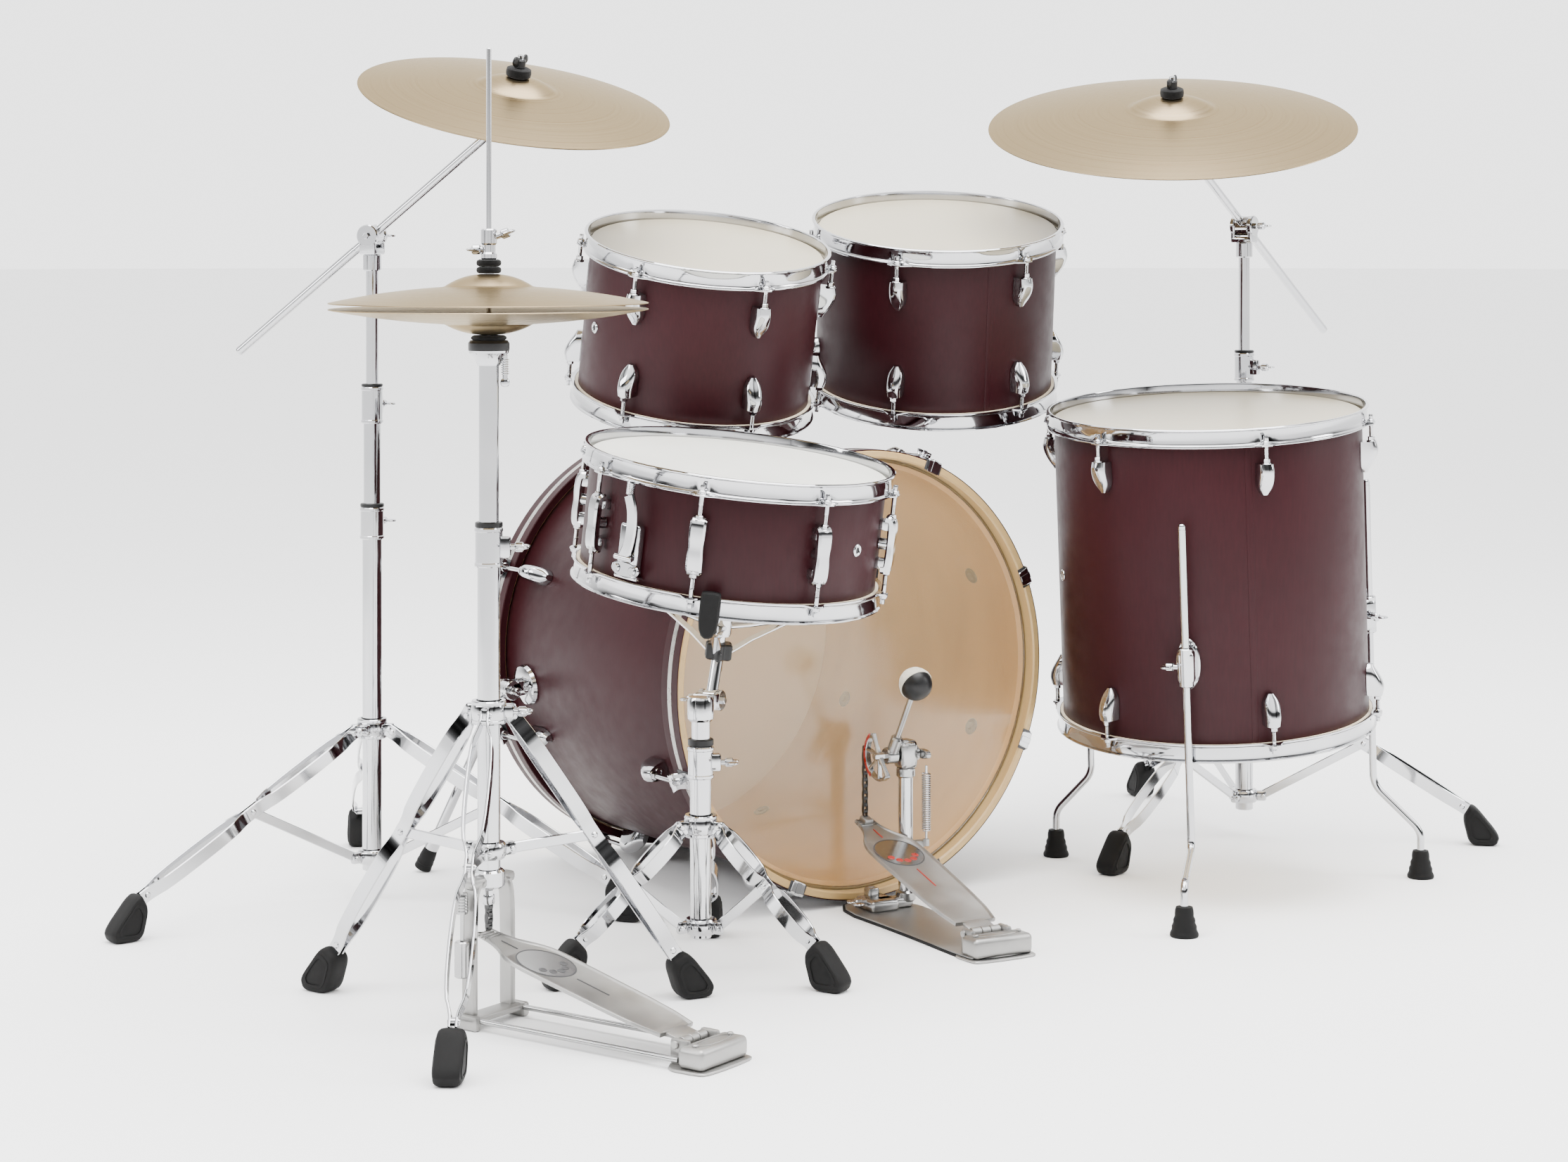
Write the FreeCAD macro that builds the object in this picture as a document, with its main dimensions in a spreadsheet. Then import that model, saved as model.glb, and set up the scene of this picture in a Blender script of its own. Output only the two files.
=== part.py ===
import FreeCAD, Part
import math
import os
import Sketcher
from FreeCAD import Placement, Rotation, Vector

# Acoustic drum kit: bass drum, two mounted toms, floor tom, snare, hi-hat, crash and ride.
# Frame: +Z up, millimetres. The bass drum's axis runs along Y, its struck head towards +Y,
# where the player sits. The hi-hat stands towards +X and the floor tom towards -X.
os.makedirs("parts", exist_ok=True)
doc = FreeCAD.newDocument("DrumKit")

SIZES = {
    # the kit's place over the origin
    "kit_shift_x": 37.5, "kit_shift_y": -166.3,
    # fits and gaps
    "running_clearance": 0.05, "seat_gap": 0.3,
    # bass drum
    "bass_diameter": 558.8, "bass_depth": 457.2, "bass_wall": 7.5, "bass_floor_gap": 5.6,
    "bass_centre_y": 7.5, "bass_hoop_width": 38.0, "bass_hoop_wall": 11.2, "bass_hoop_reach": 16.5,
    "bass_hoop_gap": 2.9, "bass_lug_inset": 62.0, "bass_lug_standoff": 22.0, "bass_rod_radius": 3.0,
    "claw_width": 26.0, "claw_plate": 3.0, "claw_lip": 14.0, "claw_reach": 30.0,
    "spur_radius": 6.5, "spur_tip_x": 383.0, "spur_tip_y": -257.0,
    # drums that stand on their shells' own hoops
    "small_diameter": 304.8, "small_depth": 203.2, "middle_diameter": 330.2, "middle_depth": 228.6,
    "floor_diameter": 406.4, "floor_depth": 406.4, "snare_diameter": 355.6, "snare_depth": 139.7,
    "shell_wall": 7.5, "film": 0.6, "collar_depth": 11.0, "flesh_wall": 3.3,
    "hoop_gap": 4.8, "hoop_wall": 2.0, "hoop_flange": 4.5, "hoop_rise": 12.0, "hoop_sheet": 2.0,
    "ear_width": 22.0, "ear_reach": 18.0, "ear_sheet": 3.0,
    "rod_offset": 13.0, "rod_radius": 2.9, "rod_head": 5.0, "rod_head_height": 11.0,
    "lug_radius": 9.5, "lug_length": 28.0, "lug_drop": 34.0, "lug_foot": 15.0,
    "bridge_lug_drop": 40.0, "bridge_lug_width": 19.0, "bridge_lug_depth": 21.0,
    # tom holder
    "arm_tube_radius": 11.1, "sleeve_wall": 6.0, "sleeve_height": 60.0,
    "tom_post_x": 55.0, "tom_post_y": -110.0, "bracket_width": 34.0, "bracket_height": 54.0,
    "bracket_depth": 34.0, "tom_fork_radius": 18.0, "tom_fork_gap": 26.0, "cheek": 7.0,
    # floor tom legs
    "leg_radius": 5.0, "leg_offset": 22.0, "leg_top": 95.0, "leg_foot_circle": 290.6,
    "leg_drop": 108.0, "leg_shin": 64.0, "leg_bracket_drop": 87.0,
    "leg_foot_radius": 18.0, "leg_foot_height": 38.0,
    # stand tubes
    "outer_tube_radius": 12.7, "inner_tube_radius": 11.1, "top_tube_radius": 8.0,
    "strip": 2.5, "strip_width": 17.0, "leg_bow": 14.0, "leg_pinch": 5.0, "brace_sheet": 4.0,
    "foot_width": 30.0,
    "collar_radius": 16.0,
    # cymbals
    "cymbal_sheet": 1.2, "cymbal_hole": 6.3, "hat_diameter": 355.6, "crash_diameter": 406.4,
    "ride_diameter": 508.0, "cymbal_post_radius": 4.0, "boom_radius": 6.0,
    "boom_fork_radius": 15.0, "boom_fork_gap": 20.0,
    "tilter_fork_radius": 10.0, "tilter_fork_gap": 15.0,
    "felt_radius": 17.0, "felt_height": 12.0, "wing_nut_height": 24.0,
    # hi-hat
    "hat_seat_z": 764.0, "hat_rod_radius": 3.0, "hat_rod_top": 1083.0, "hat_gap": 8.0, "hat_rise": 28.0,
    "hat_seat_radius": 23.0, "clutch_radius": 9.0,
    # pedals
    "board_sheet": 4.0, "board_width": 78.0, "toe_width": 26.0, "heel_width": 84.0, "hinge_pin": 3.0,
    "kick_axle_z": 202.0, "kick_axle_radius": 5.0, "cam_radius": 34.0, "beater_reach": 116.0,
    "beater_radius": 22.0, "beater_shaft": 4.0, "beater_back_angle": 31.0, "kick_plate": 5.0,
}


class Size:
    """A number that remembers the sheet expression it comes from."""

    def __init__(self, value, text):
        self.value = float(value)
        self.text = text

    def __float__(self):
        return self.value

    def __add__(self, other):
        other = as_size(other)
        return Size(self.value + other.value, f"({self.text} + {other.text})")

    def __sub__(self, other):
        other = as_size(other)
        return Size(self.value - other.value, f"({self.text} - {other.text})")

    def __mul__(self, other):
        other = as_size(other)
        return Size(self.value * other.value, f"({self.text} * {other.text})")

    def __truediv__(self, other):
        other = as_size(other)
        return Size(self.value / other.value, f"({self.text} / {other.text})")

    def __radd__(self, other):
        return as_size(other) + self

    def __rsub__(self, other):
        return as_size(other) - self

    def __rmul__(self, other):
        return as_size(other) * self

    def __neg__(self):
        return self * -1


def as_size(value):
    return value if isinstance(value, Size) else Size(value, f"({float(value):.6f})")


class Sheet:
    """Reads each driving dimension by its alias."""

    def __init__(self, values):
        self.cells = doc.addObject("Spreadsheet::Sheet", "Sizes")
        for row, (alias, value) in enumerate(values.items(), 1):
            self.cells.set(f"A{row}", alias.replace("_", " "))
            self.cells.set(f"B{row}", str(value))
            self.cells.setAlias(f"B{row}", alias)
        doc.recompute()

    def __getattr__(self, alias):
        return Size(self.cells.get(alias), f"Sizes.{alias}")


S = Sheet(SIZES)
UP = Vector(0, 0, 1)
KIT = Vector(float(S.kit_shift_x), float(S.kit_shift_y), 0)
NODES = []


# ---- placing and binding -------------------------------------------------------------------

def frame(origin, along=UP, across=None):
    """Placement at origin whose Z runs along one direction and X as near as it can to another."""
    along = Vector(along).normalize()
    if across is None:
        across = Vector(1, 0, 0) if abs(along.x) < 0.9 else Vector(0, 1, 0)
    side = along.cross(Vector(across)).normalize()
    return Placement(Vector(origin), Rotation(side.cross(along), side, along, "ZXY"))


def turned(angle, place=Placement()):
    """The placement turned by an angle about its own Z."""
    return place * Placement(Vector(), Rotation(UP, angle))


def at(x=0, y=0, z=0):
    return Placement(Vector(float(x), float(y), float(z)), Rotation())


def polar(angle, radius=1, z=0):
    turn = math.radians(angle)
    return Vector(float(radius) * math.cos(turn), float(radius) * math.sin(turn), float(z))


def bind(item, **sizes):
    for name, value in sizes.items():
        if isinstance(value, Size):
            item.setExpression(name, value.text)
            setattr(item, name, value.value)
        else:
            setattr(item, name, value)
    return item


# ---- primitives, bodies and joins -----------------------------------------------------------

def cylinder(radius, height, place=Placement(), angle=360.0):
    item = bind(doc.addObject("Part::Cylinder", "Cylinder"), Radius=radius, Height=height, Angle=angle)
    item.Placement = place
    return item


def cone(low, high, height, place=Placement()):
    item = bind(doc.addObject("Part::Cone", "Cone"), Radius1=low, Radius2=high, Height=height)
    item.Placement = place
    return item


def ball(radius, centre):
    item = bind(doc.addObject("Part::Sphere", "Ball"), Radius=radius)
    item.Placement = Placement(Vector(centre), Rotation())
    return item


def block(length, width, height, place=Placement()):
    """A box centred on its placement in X and Y, standing on it in Z."""
    item = bind(doc.addObject("Part::Box", "Block"), Length=length, Width=width, Height=height)
    item.Placement = place * at(-float(length) / 2, -float(width) / 2)
    return item


def bar(start, end, radius):
    """A round bar from one point to another."""
    way = Vector(end) - Vector(start)
    return cylinder(radius, way.Length, frame(start, way))


def flat_bar(start, end, width, thickness, flat=UP):
    """A flat bar between two points, its thin side facing the given direction."""
    way = Vector(end) - Vector(start)
    place = frame(start, way, flat)
    return block(thickness, width, way.Length, place)


def origin_of(body, role):
    return next(item for item in body.Origin.OriginFeatures if item.Role == role)


def new_body(name):
    body = doc.addObject("PartDesign::Body", name)
    return body


def new_sketch(body, plane, offset=0.0):
    sketch = body.newObject("Sketcher::SketchObject", "Sketch")
    sketch.AttachmentSupport = (origin_of(body, plane), [""])
    sketch.MapMode = "FlatFace"
    sketch.AttachmentOffset = at(0, 0, offset)
    return sketch


def dimension(sketch, kind, geometry, point, value):
    index = sketch.addConstraint(Sketcher.Constraint(kind, -1, 1, geometry, point, float(value)))
    if isinstance(value, Size):
        sketch.setExpression(f"Constraints[{index}]", value.text)


def outline(sketch, points):
    """A closed run of straight lines, each corner dimensioned from the sketch's origin."""
    first = sketch.GeometryCount
    count = len(points)
    corners = [Vector(float(x), float(y), 0) for x, y in points]
    for i in range(count):
        sketch.addGeometry(Part.LineSegment(corners[i], corners[(i + 1) % count]))
    for i in range(count):
        following = first + (i + 1) % count
        sketch.addConstraint(Sketcher.Constraint("Coincident", first + i, 2, following, 1))
    for i, (x, y) in enumerate(points):
        dimension(sketch, "DistanceX", first + i, 1, x)
        dimension(sketch, "DistanceY", first + i, 1, y)


def circle(sketch, radius, x=0.0, y=0.0):
    index = sketch.addGeometry(Part.Circle(Vector(float(x), float(y), 0), UP, float(radius)))
    dimension(sketch, "DistanceX", index, 3, x)
    dimension(sketch, "DistanceY", index, 3, y)
    size = sketch.addConstraint(Sketcher.Constraint("Radius", index, float(radius)))
    if isinstance(radius, Size):
        sketch.setExpression(f"Constraints[{size}]", radius.text)


def lathe(name, outlines, place=Placement()):
    """A body turned about Z from profiles in radius and height."""
    body = new_body(name)
    sketch = new_sketch(body, "XZ_Plane")
    for points in outlines:
        outline(sketch, points)
    turn = body.newObject("PartDesign::Revolution", "Turned")
    turn.Profile = (sketch, [""])
    turn.ReferenceAxis = (sketch, ["V_Axis"])
    turn.Angle = 360.0
    body.Placement = place
    return body


def plate(name, outlines, thickness, place=Placement(), plane="XY_Plane", holes=()):
    """A body padded both ways from a flat outline."""
    body = new_body(name)
    sketch = new_sketch(body, plane)
    for points in outlines:
        outline(sketch, points)
    for radius, x, y in holes:
        circle(sketch, radius, x, y)
    pad = body.newObject("PartDesign::Pad", "Plate")
    pad.Profile = (sketch, [""])
    pad.SideType = "Symmetric"
    bind(pad, Length=thickness)
    body.Placement = place
    return body


def tube(name, outer, inner, length, place=Placement()):
    """A body padded from two circles, centred on its placement."""
    return plate(name, [], length, place, holes=((outer, 0, 0), (inner, 0, 0)))


def copies(seed, places):
    """Links to one piece, each with a place of its own."""
    links = []
    for place in places:
        link = doc.addObject("App::Link", "Copy")
        link.LinkedObject = seed
        link.LinkTransform = False
        link.Placement = place
        links.append(link)
    return links


def fuse(name, pieces):
    item = doc.addObject("Part::MultiFuse", name)
    item.Shapes = pieces
    return item


def cut(name, base, tool):
    item = doc.addObject("Part::Cut", name)
    item.Base = base
    item.Tool = tool
    return item


def group(name, pieces):
    item = doc.addObject("Part::Compound", name)
    item.Links = pieces
    return item


def node(label, item):
    """Marks a finished sub-part and gives it the name of its file."""
    item.Label = label
    NODES.append(item)
    return item


# ---- shared details -------------------------------------------------------------------------

def fork(centre, axis, away, radius, gap, neck=1.4):
    """Two cheeks either side of a hinge centre, joined by a bridge on the far side.

    neck is the bridge's width as a share of the cheeks' radius.
    """
    centre = Vector(centre)
    axis = Vector(axis).normalize()
    away = Vector(away).normalize()
    reach = float(radius) + 1.0
    cheek = S.cheek
    half = float(gap) / 2
    pieces = []
    for side in (-1, 1):
        start = centre + axis * side * half
        pieces.append(cylinder(radius, cheek, frame(start, axis * side)))
        middle = centre + axis * side * (half + float(cheek) / 2)
        pieces.append(block(cheek, radius * neck, reach + 8.0, frame(middle, away, axis)))
    bridge = frame(centre + away * reach, away, axis)
    pieces.append(block(gap + cheek * 2, radius * neck, 8.0, bridge))
    return pieces


def eye(centre, axis, radius, gap):
    """The round boss that turns between a fork's cheeks."""
    axis = Vector(axis).normalize()
    width = gap - S.seat_gap * 2
    start = Vector(centre) - axis * (float(width) / 2)
    return cylinder(radius, width, frame(start, axis))


def wing_bolt(centre, out, reach=14.0, span=32.0):
    """A threaded shank with a flat wing on its end."""
    out = Vector(out).normalize()
    head = Vector(centre) + out * reach
    shank = bar(centre, head, 3.5)
    wing = block(6.0, span, 13.0, frame(head - out * 2.0, out, UP.cross(out)))
    return [shank, wing]


def path_bar(points, radius):
    """A bent round bar: straight runs with a ball at each bend."""
    pieces = [bar(a, b, radius) for a, b in zip(points, points[1:])]
    pieces += [ball(radius * 1.01, p) for p in points[1:-1]]
    return pieces


# ---- drums ----------------------------------------------------------------------------------

def drum_shell(name, radius, depth, wall, place):
    return node(name + "_shell", tube("Shell", radius, radius - wall, depth, place))


def head_profile(radius, depth, end, flesh):
    """The film, its collar over the shell's edge and the ring that grips it."""
    top = depth / 2 * end
    low = (depth / 2 - S.collar_depth) * end
    lip = (depth / 2 - S.collar_depth + 6.0) * end
    skin = (depth / 2 + S.film) * end
    inner = radius + S.seat_gap
    return [(0.0, top), (inner, top), (inner, low), (radius + flesh, low), (radius + flesh, lip),
            (inner + S.film, lip), (inner + S.film, skin), (0.0, skin)]


def hoop_profile(radius, depth, end):
    """A flanged steel hoop: a rim turned out, a wall, a lip over the head's ring and a flange."""
    edge = depth / 2 * end
    inner = radius + S.hoop_gap
    wall = inner + S.hoop_wall
    flange = inner + S.hoop_flange
    rise = S.hoop_rise * end
    sheet = S.hoop_sheet * end
    lip = (S.collar_depth - 6.3) * end
    return [(inner, edge - rise), (flange, edge - rise), (flange, edge - rise + sheet),
            (wall, edge - rise + sheet), (wall, edge + rise - sheet), (flange, edge + rise - sheet),
            (flange, edge + rise), (inner, edge + rise), (inner, edge - lip + sheet),
            (inner - 3.2, edge - lip + sheet), (inner - 3.2, edge - lip), (inner, edge - lip)]


def drum_hoops(name, radius, depth, rods, first, place):
    """Both hoops, with an ear for each tension rod."""
    body = lathe("Hoops", [hoop_profile(radius, depth, 1), hoop_profile(radius, depth, -1)], place)
    ears = []
    inner = radius + S.hoop_gap + S.hoop_wall - 0.5
    outer = radius + S.ear_reach
    half = S.ear_width / 2
    for end in (1, -1):
        sketch = new_sketch(body, "XY_Plane")
        rest = (depth / 2 - S.hoop_rise) * end
        sketch.setExpression("AttachmentOffset.Base.z", rest.text)
        outline(sketch, [(inner, -half), (outer, -half * 0.6), (outer, half * 0.6), (inner, half)])
        circle(sketch, S.rod_radius + S.seat_gap, radius + S.rod_offset)
        ear = body.newObject("PartDesign::Pad", "Ear")
        ear.Profile = (sketch, [""])
        ear.Reversed = end < 0
        bind(ear, Length=S.ear_sheet)
        ears.append(ear)
    pattern = body.newObject("PartDesign::PolarPattern", "Ears")
    pattern.Originals = ears
    pattern.Axis = (origin_of(body, "Z_Axis"), [""])
    pattern.Angle = 360.0
    pattern.Occurrences = rods
    body.Tip = pattern
    body.Placement = turned(first, place)
    return node(name + "_hoops", body)


def drum_heads(name, radius, depth, place):
    ends = [head_profile(radius, depth, end, S.flesh_wall + 1.1) for end in (1, -1)]
    return node(name + "_heads", lathe("Heads", ends, place))


def rod_and_head(radius, depth, low):
    """A tension rod from a lug's mouth up through the hoop's ear, with its key head."""
    x = radius + S.rod_offset
    ear_top = depth / 2 - S.hoop_rise + S.ear_sheet
    rod = cylinder(S.rod_radius, ear_top - low + 1.0, at(x, 0, low))
    head = cylinder(S.rod_head, S.rod_head_height, at(x, 0, ear_top))
    return [rod, head]


def single_lugs(radius, depth, rods, first, place):
    """Bullet lugs, one row for each hoop, each with its rod."""
    x = radius + S.rod_offset
    top = depth / 2 - S.lug_drop
    low = top - S.lug_length
    foot_in = radius + S.seat_gap
    barrel = cylinder(S.lug_radius, S.lug_length, at(x, 0, low))
    tip = ball(S.lug_radius, Vector(float(x), 0, float(low)))
    foot_place = at(float(foot_in) + float(S.rod_offset) / 2, 0, float(low) - 5.0)
    foot = block(S.rod_offset, S.lug_foot, S.lug_length + 3.0, foot_place)
    seed = fuse("Lug", [barrel, tip, foot] + rod_and_head(radius, depth, top))
    places = []
    for i in range(rods):
        angle = first + 360.0 * i / rods
        places.append(turned(angle, place))
        places.append(turned(angle, place) * Placement(Vector(), Rotation(Vector(1, 0, 0), 180)))
    return copies(seed, places)


def bridge_lugs(radius, depth, rods, first, place):
    """Two-ended lugs that reach from one hoop's rods to the other's."""
    top = depth / 2 - S.bridge_lug_drop
    middle = float(radius) + float(S.seat_gap) + float(S.bridge_lug_depth) / 2
    body = block(S.bridge_lug_depth, S.bridge_lug_width, top * 2, at(middle, 0, -float(top)))
    upper = rod_and_head(radius, depth, top)
    lower = [fuse("Rod", rod_and_head(radius, depth, top))]
    flip = Placement(Vector(), Rotation(Vector(1, 0, 0), 180))
    seed = fuse("BridgeLug", [body] + upper + copies(lower[0], [flip]))
    return copies(seed, [turned(first + 360.0 * i / rods, place) for i in range(rods)])


# ---- bass drum ------------------------------------------------------------------------------

bass_radius = S.bass_diameter / 2
bass_hoop_inner = bass_radius + S.bass_hoop_gap
bass_hoop_outer = bass_hoop_inner + S.bass_hoop_wall
bass_face = S.bass_depth / 2 + S.bass_hoop_reach
bass_z = bass_hoop_outer + S.bass_floor_gap
bass_centre = KIT + Vector(0, float(S.bass_centre_y), float(bass_z))
bass_place = frame(bass_centre, (0, 1, 0), (1, 0, 0))
BASS_RODS = 8


def bass_drum():
    drum_shell("bass", bass_radius, S.bass_depth, S.bass_wall, bass_place)
    rings = []
    for end in (1, -1):
        outer = bass_face * end
        inner = (bass_face - S.bass_hoop_width) * end
        rings.append([(bass_hoop_inner, outer), (bass_hoop_outer, outer),
                      (bass_hoop_outer, inner), (bass_hoop_inner, inner)])
    node("bass_hoops", lathe("BassHoops", rings, bass_place))
    for name, end in (("bass_batter_head", 1), ("bass_front_head", -1)):
        profile = head_profile(bass_radius, S.bass_depth, end, S.bass_hoop_gap - S.seat_gap)
        node(name, lathe("BassHead", [profile], bass_place))
    angles = [360.0 / BASS_RODS * (i + 0.5) for i in range(BASS_RODS)]
    ends = [Placement(), Placement(Vector(), Rotation(Vector(1, 0, 0), 180))]
    places = [turned(a, bass_place) * end for a in angles for end in ends]
    node("bass_claws", group("Claws", copies(claw(), places)))
    lugs = copies(bass_lug(), places)
    brackets = [spur_bracket(side) for side in (1, -1)]
    node("bass_hardware", group("BassHardware", lugs + brackets))
    for name, side in (("bass_spur_left", 1), ("bass_spur_right", -1)):
        node(name, spur(side))


def claw():
    """A hook over the hoop, with the rod that pulls it towards its lug."""
    face = bass_face + S.seat_gap
    over = bass_hoop_outer + S.seat_gap
    ear = over + S.claw_reach / 2
    back = bass_face - S.claw_reach
    lip = bass_hoop_outer - S.claw_lip
    points = [(lip, face), (over, face), (over, back), (ear, back), (ear, back + 4.0),
              (over + S.claw_plate, back + 16.0), (over + S.claw_plate, face + S.claw_plate),
              (lip, face + S.claw_plate)]
    hook = plate("Claw", [points], S.claw_width, plane="XZ_Plane")
    x = bass_radius + S.bass_lug_standoff
    mouth = S.bass_depth / 2 - S.bass_lug_inset + S.seat_gap
    rod = cylinder(S.bass_rod_radius, back + 14.0 - mouth, at(x, 0, mouth))
    return fuse("ClawAndRod", [hook, rod])


def bass_lug():
    x = bass_radius + S.bass_lug_standoff
    top = S.bass_depth / 2 - S.bass_lug_inset
    low = top - S.lug_length
    barrel = cylinder(S.lug_radius, S.lug_length, at(x, 0, low))
    tip = ball(S.lug_radius, Vector(float(x), 0, float(low)))
    depth = S.bass_lug_standoff - 1.0
    foot_place = at(float(bass_radius) + 1.0 + float(depth) / 2, 0, float(low) - 5.0)
    foot = block(depth, S.lug_foot, S.lug_length + 3.0, foot_place)
    return fuse("BassLug", [barrel, tip, foot])


SPUR_ANGLE = -8.0
SPUR_Y = -150.0


def spur_pivot(side):
    """Centre of a spur's hinge, just outside the shell and low on its side."""
    reach = float(bass_radius) + 30.0
    turn = math.radians(SPUR_ANGLE)
    return KIT + Vector(side * reach * math.cos(turn), SPUR_Y, float(bass_z) + reach * math.sin(turn))


def spur_bracket(side):
    """A round casting on the shell whose cheeks hold the spur."""
    centre = spur_pivot(side)
    inward = (Vector(bass_centre.x, centre.y, bass_centre.z) - centre).normalize()
    axis = Vector(0, 1, 0)
    cheeks = fork(centre, axis, inward, Size(14.0, "14"), Size(16.0, "16"))
    foot = centre + inward * (30.0 - 1.0)
    base = cylinder(28.0, 8.0, frame(foot, -inward))
    return fuse("SpurBracket", cheeks + [base])


def spur(side):
    """A leg that swings out and forward to the floor, with a rubber tip."""
    centre = spur_pivot(side)
    tip = KIT + Vector(side * float(S.spur_tip_x), float(S.spur_tip_y), 0)
    axis = Vector(0, 1, 0)
    boss = eye(centre, axis, Size(13.0, "13"), Size(16.0, "16"))
    knee = centre + Vector(side * 16.0, 0, -14.0)
    way = (tip - knee).normalize()
    ankle = tip - way * 40.0
    leg = path_bar([centre, knee, ankle], S.spur_radius)
    foot = cone(12.0, 9.0, 34.0, frame(tip - way * 6.0, -way))
    point = cylinder(2.5, 12.0, frame(tip - way * 12.0 + UP * 1.0, way))
    return fuse("Spur", [boss] + leg + [foot, point])


# ---- mounted toms ---------------------------------------------------------------------------

TOM_RODS = 6
TOMS = {
    "tom_left": dict(diameter="small_diameter", depth="small_depth", side=1, rim=(168.0, 133.0, 867.0),
                     lean=(0.0465, 0.2483, 0.9676), first=24.1),
    "tom_right": dict(diameter="middle_diameter", depth="middle_depth", side=-1,
                      rim=(-231.0, 106.0, 894.0),
                      lean=(0.1254, 0.2074, 0.9702), first=34.2),
}


def tom_holder():
    """A saddle on top of the bass drum with a clamped sleeve for each post."""
    top = float(bass_z) + float(bass_radius)
    y = float(S.tom_post_y)
    saddle = block(170.0, 64.0, 26.0, at(KIT.x, KIT.y + y, top - 14.0))
    shell = cylinder(bass_radius + S.seat_gap, 200.0, frame(bass_centre - Vector(0, 200, 0), (0, 1, 0)))
    base = cut("Saddle", saddle, shell)
    outer = S.arm_tube_radius + S.sleeve_wall
    pieces = [base]
    holes = []
    for side in (1, -1):
        foot = at(KIT.x + side * float(S.tom_post_x), KIT.y + y, top + 4.0)
        pieces.append(cylinder(outer, S.sleeve_height, foot))
        bore = S.arm_tube_radius + S.running_clearance
        holes.append(cylinder(bore, S.sleeve_height + 20.0, foot * at(0, 0, -2)))
        bolt = Vector(KIT.x + side * (float(S.tom_post_x) + float(outer) - 2.0), KIT.y + y, top + 46.0)
        pieces += wing_bolt(bolt, (side, 0, 0))
    node("tom_holder", cut("TomHolder", fuse("Sleeves", pieces), fuse("PostHoles", holes)))


def tom(name, diameter, depth, side, rim, lean, first):
    radius = getattr(S, diameter) / 2
    depth = getattr(S, depth)
    lean = Vector(lean).normalize()
    middle = KIT + Vector(rim) - lean * float(depth / 2 + S.hoop_rise)
    place = frame(middle, lean)
    heading = math.degrees(math.atan2(place.Rotation.multVec(Vector(1, 0, 0)).y,
                                      place.Rotation.multVec(Vector(1, 0, 0)).x))
    drum_shell(name, radius, depth, S.shell_wall, place)
    drum_hoops(name, radius, depth, TOM_RODS, first - heading, place)
    drum_heads(name, radius, depth, place)

    # the arm runs from the post's hinge square to the shell and into the shell's bracket
    post = KIT + Vector(side * float(S.tom_post_x), float(S.tom_post_y), 0)
    flat = Vector(middle.x - post.x, middle.y - post.y, 0)
    rise = -(flat.x * lean.x + flat.y * lean.y) / lean.z
    arm_way = Vector(flat.x, flat.y, rise).normalize()
    pivot = middle - Vector(flat.x, flat.y, rise)
    axis = UP.cross(arm_way).normalize()
    wall = middle - arm_way * (float(radius) + float(S.seat_gap))
    mouth = frame(wall, -arm_way, lean)
    body = block(S.bracket_height, S.bracket_width, S.bracket_depth, mouth * at(0, 0, 1.2))
    bore = S.arm_tube_radius + S.running_clearance
    bracket = cut("Bracket", body, cylinder(bore, S.bracket_depth + 4.0, mouth * at(0, 0, -1)))
    lugs = single_lugs(radius, depth, TOM_RODS, first - heading, place)
    node(name + "_hardware", group("TomHardware", lugs + [bracket]))

    arm_end = wall - arm_way * 3.0
    arm = [eye(pivot, axis, S.tom_fork_radius - 1.0, S.tom_fork_gap),
           bar(pivot, arm_end, S.arm_tube_radius)]
    node(name + "_arm", fuse("TomArm", arm))

    foot = post + Vector(0, 0, float(bass_z) + float(bass_radius) + 6.0)
    neck = pivot - UP * (float(S.tom_fork_radius) + 5.0)
    cheeks = fork(pivot, axis, -UP, S.tom_fork_radius, S.tom_fork_gap)
    node(name + "_post", fuse("TomPost", cheeks + [bar(foot, neck, S.arm_tube_radius)]))


# ---- floor tom ------------------------------------------------------------------------------

FLOOR_RIM = Vector(-420.0, 447.0, 646.0)
FLOOR_LEAN = Vector(0.0823, 0.0475, 0.9955)
FLOOR_FEET_CENTRE = Vector(-442.0, 448.0, 0.0)
FLOOR_LEGS = {"front": 38.6, "left": 278.6, "right": 158.6}
FLOOR_FIRST_LUG = 7.4


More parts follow.
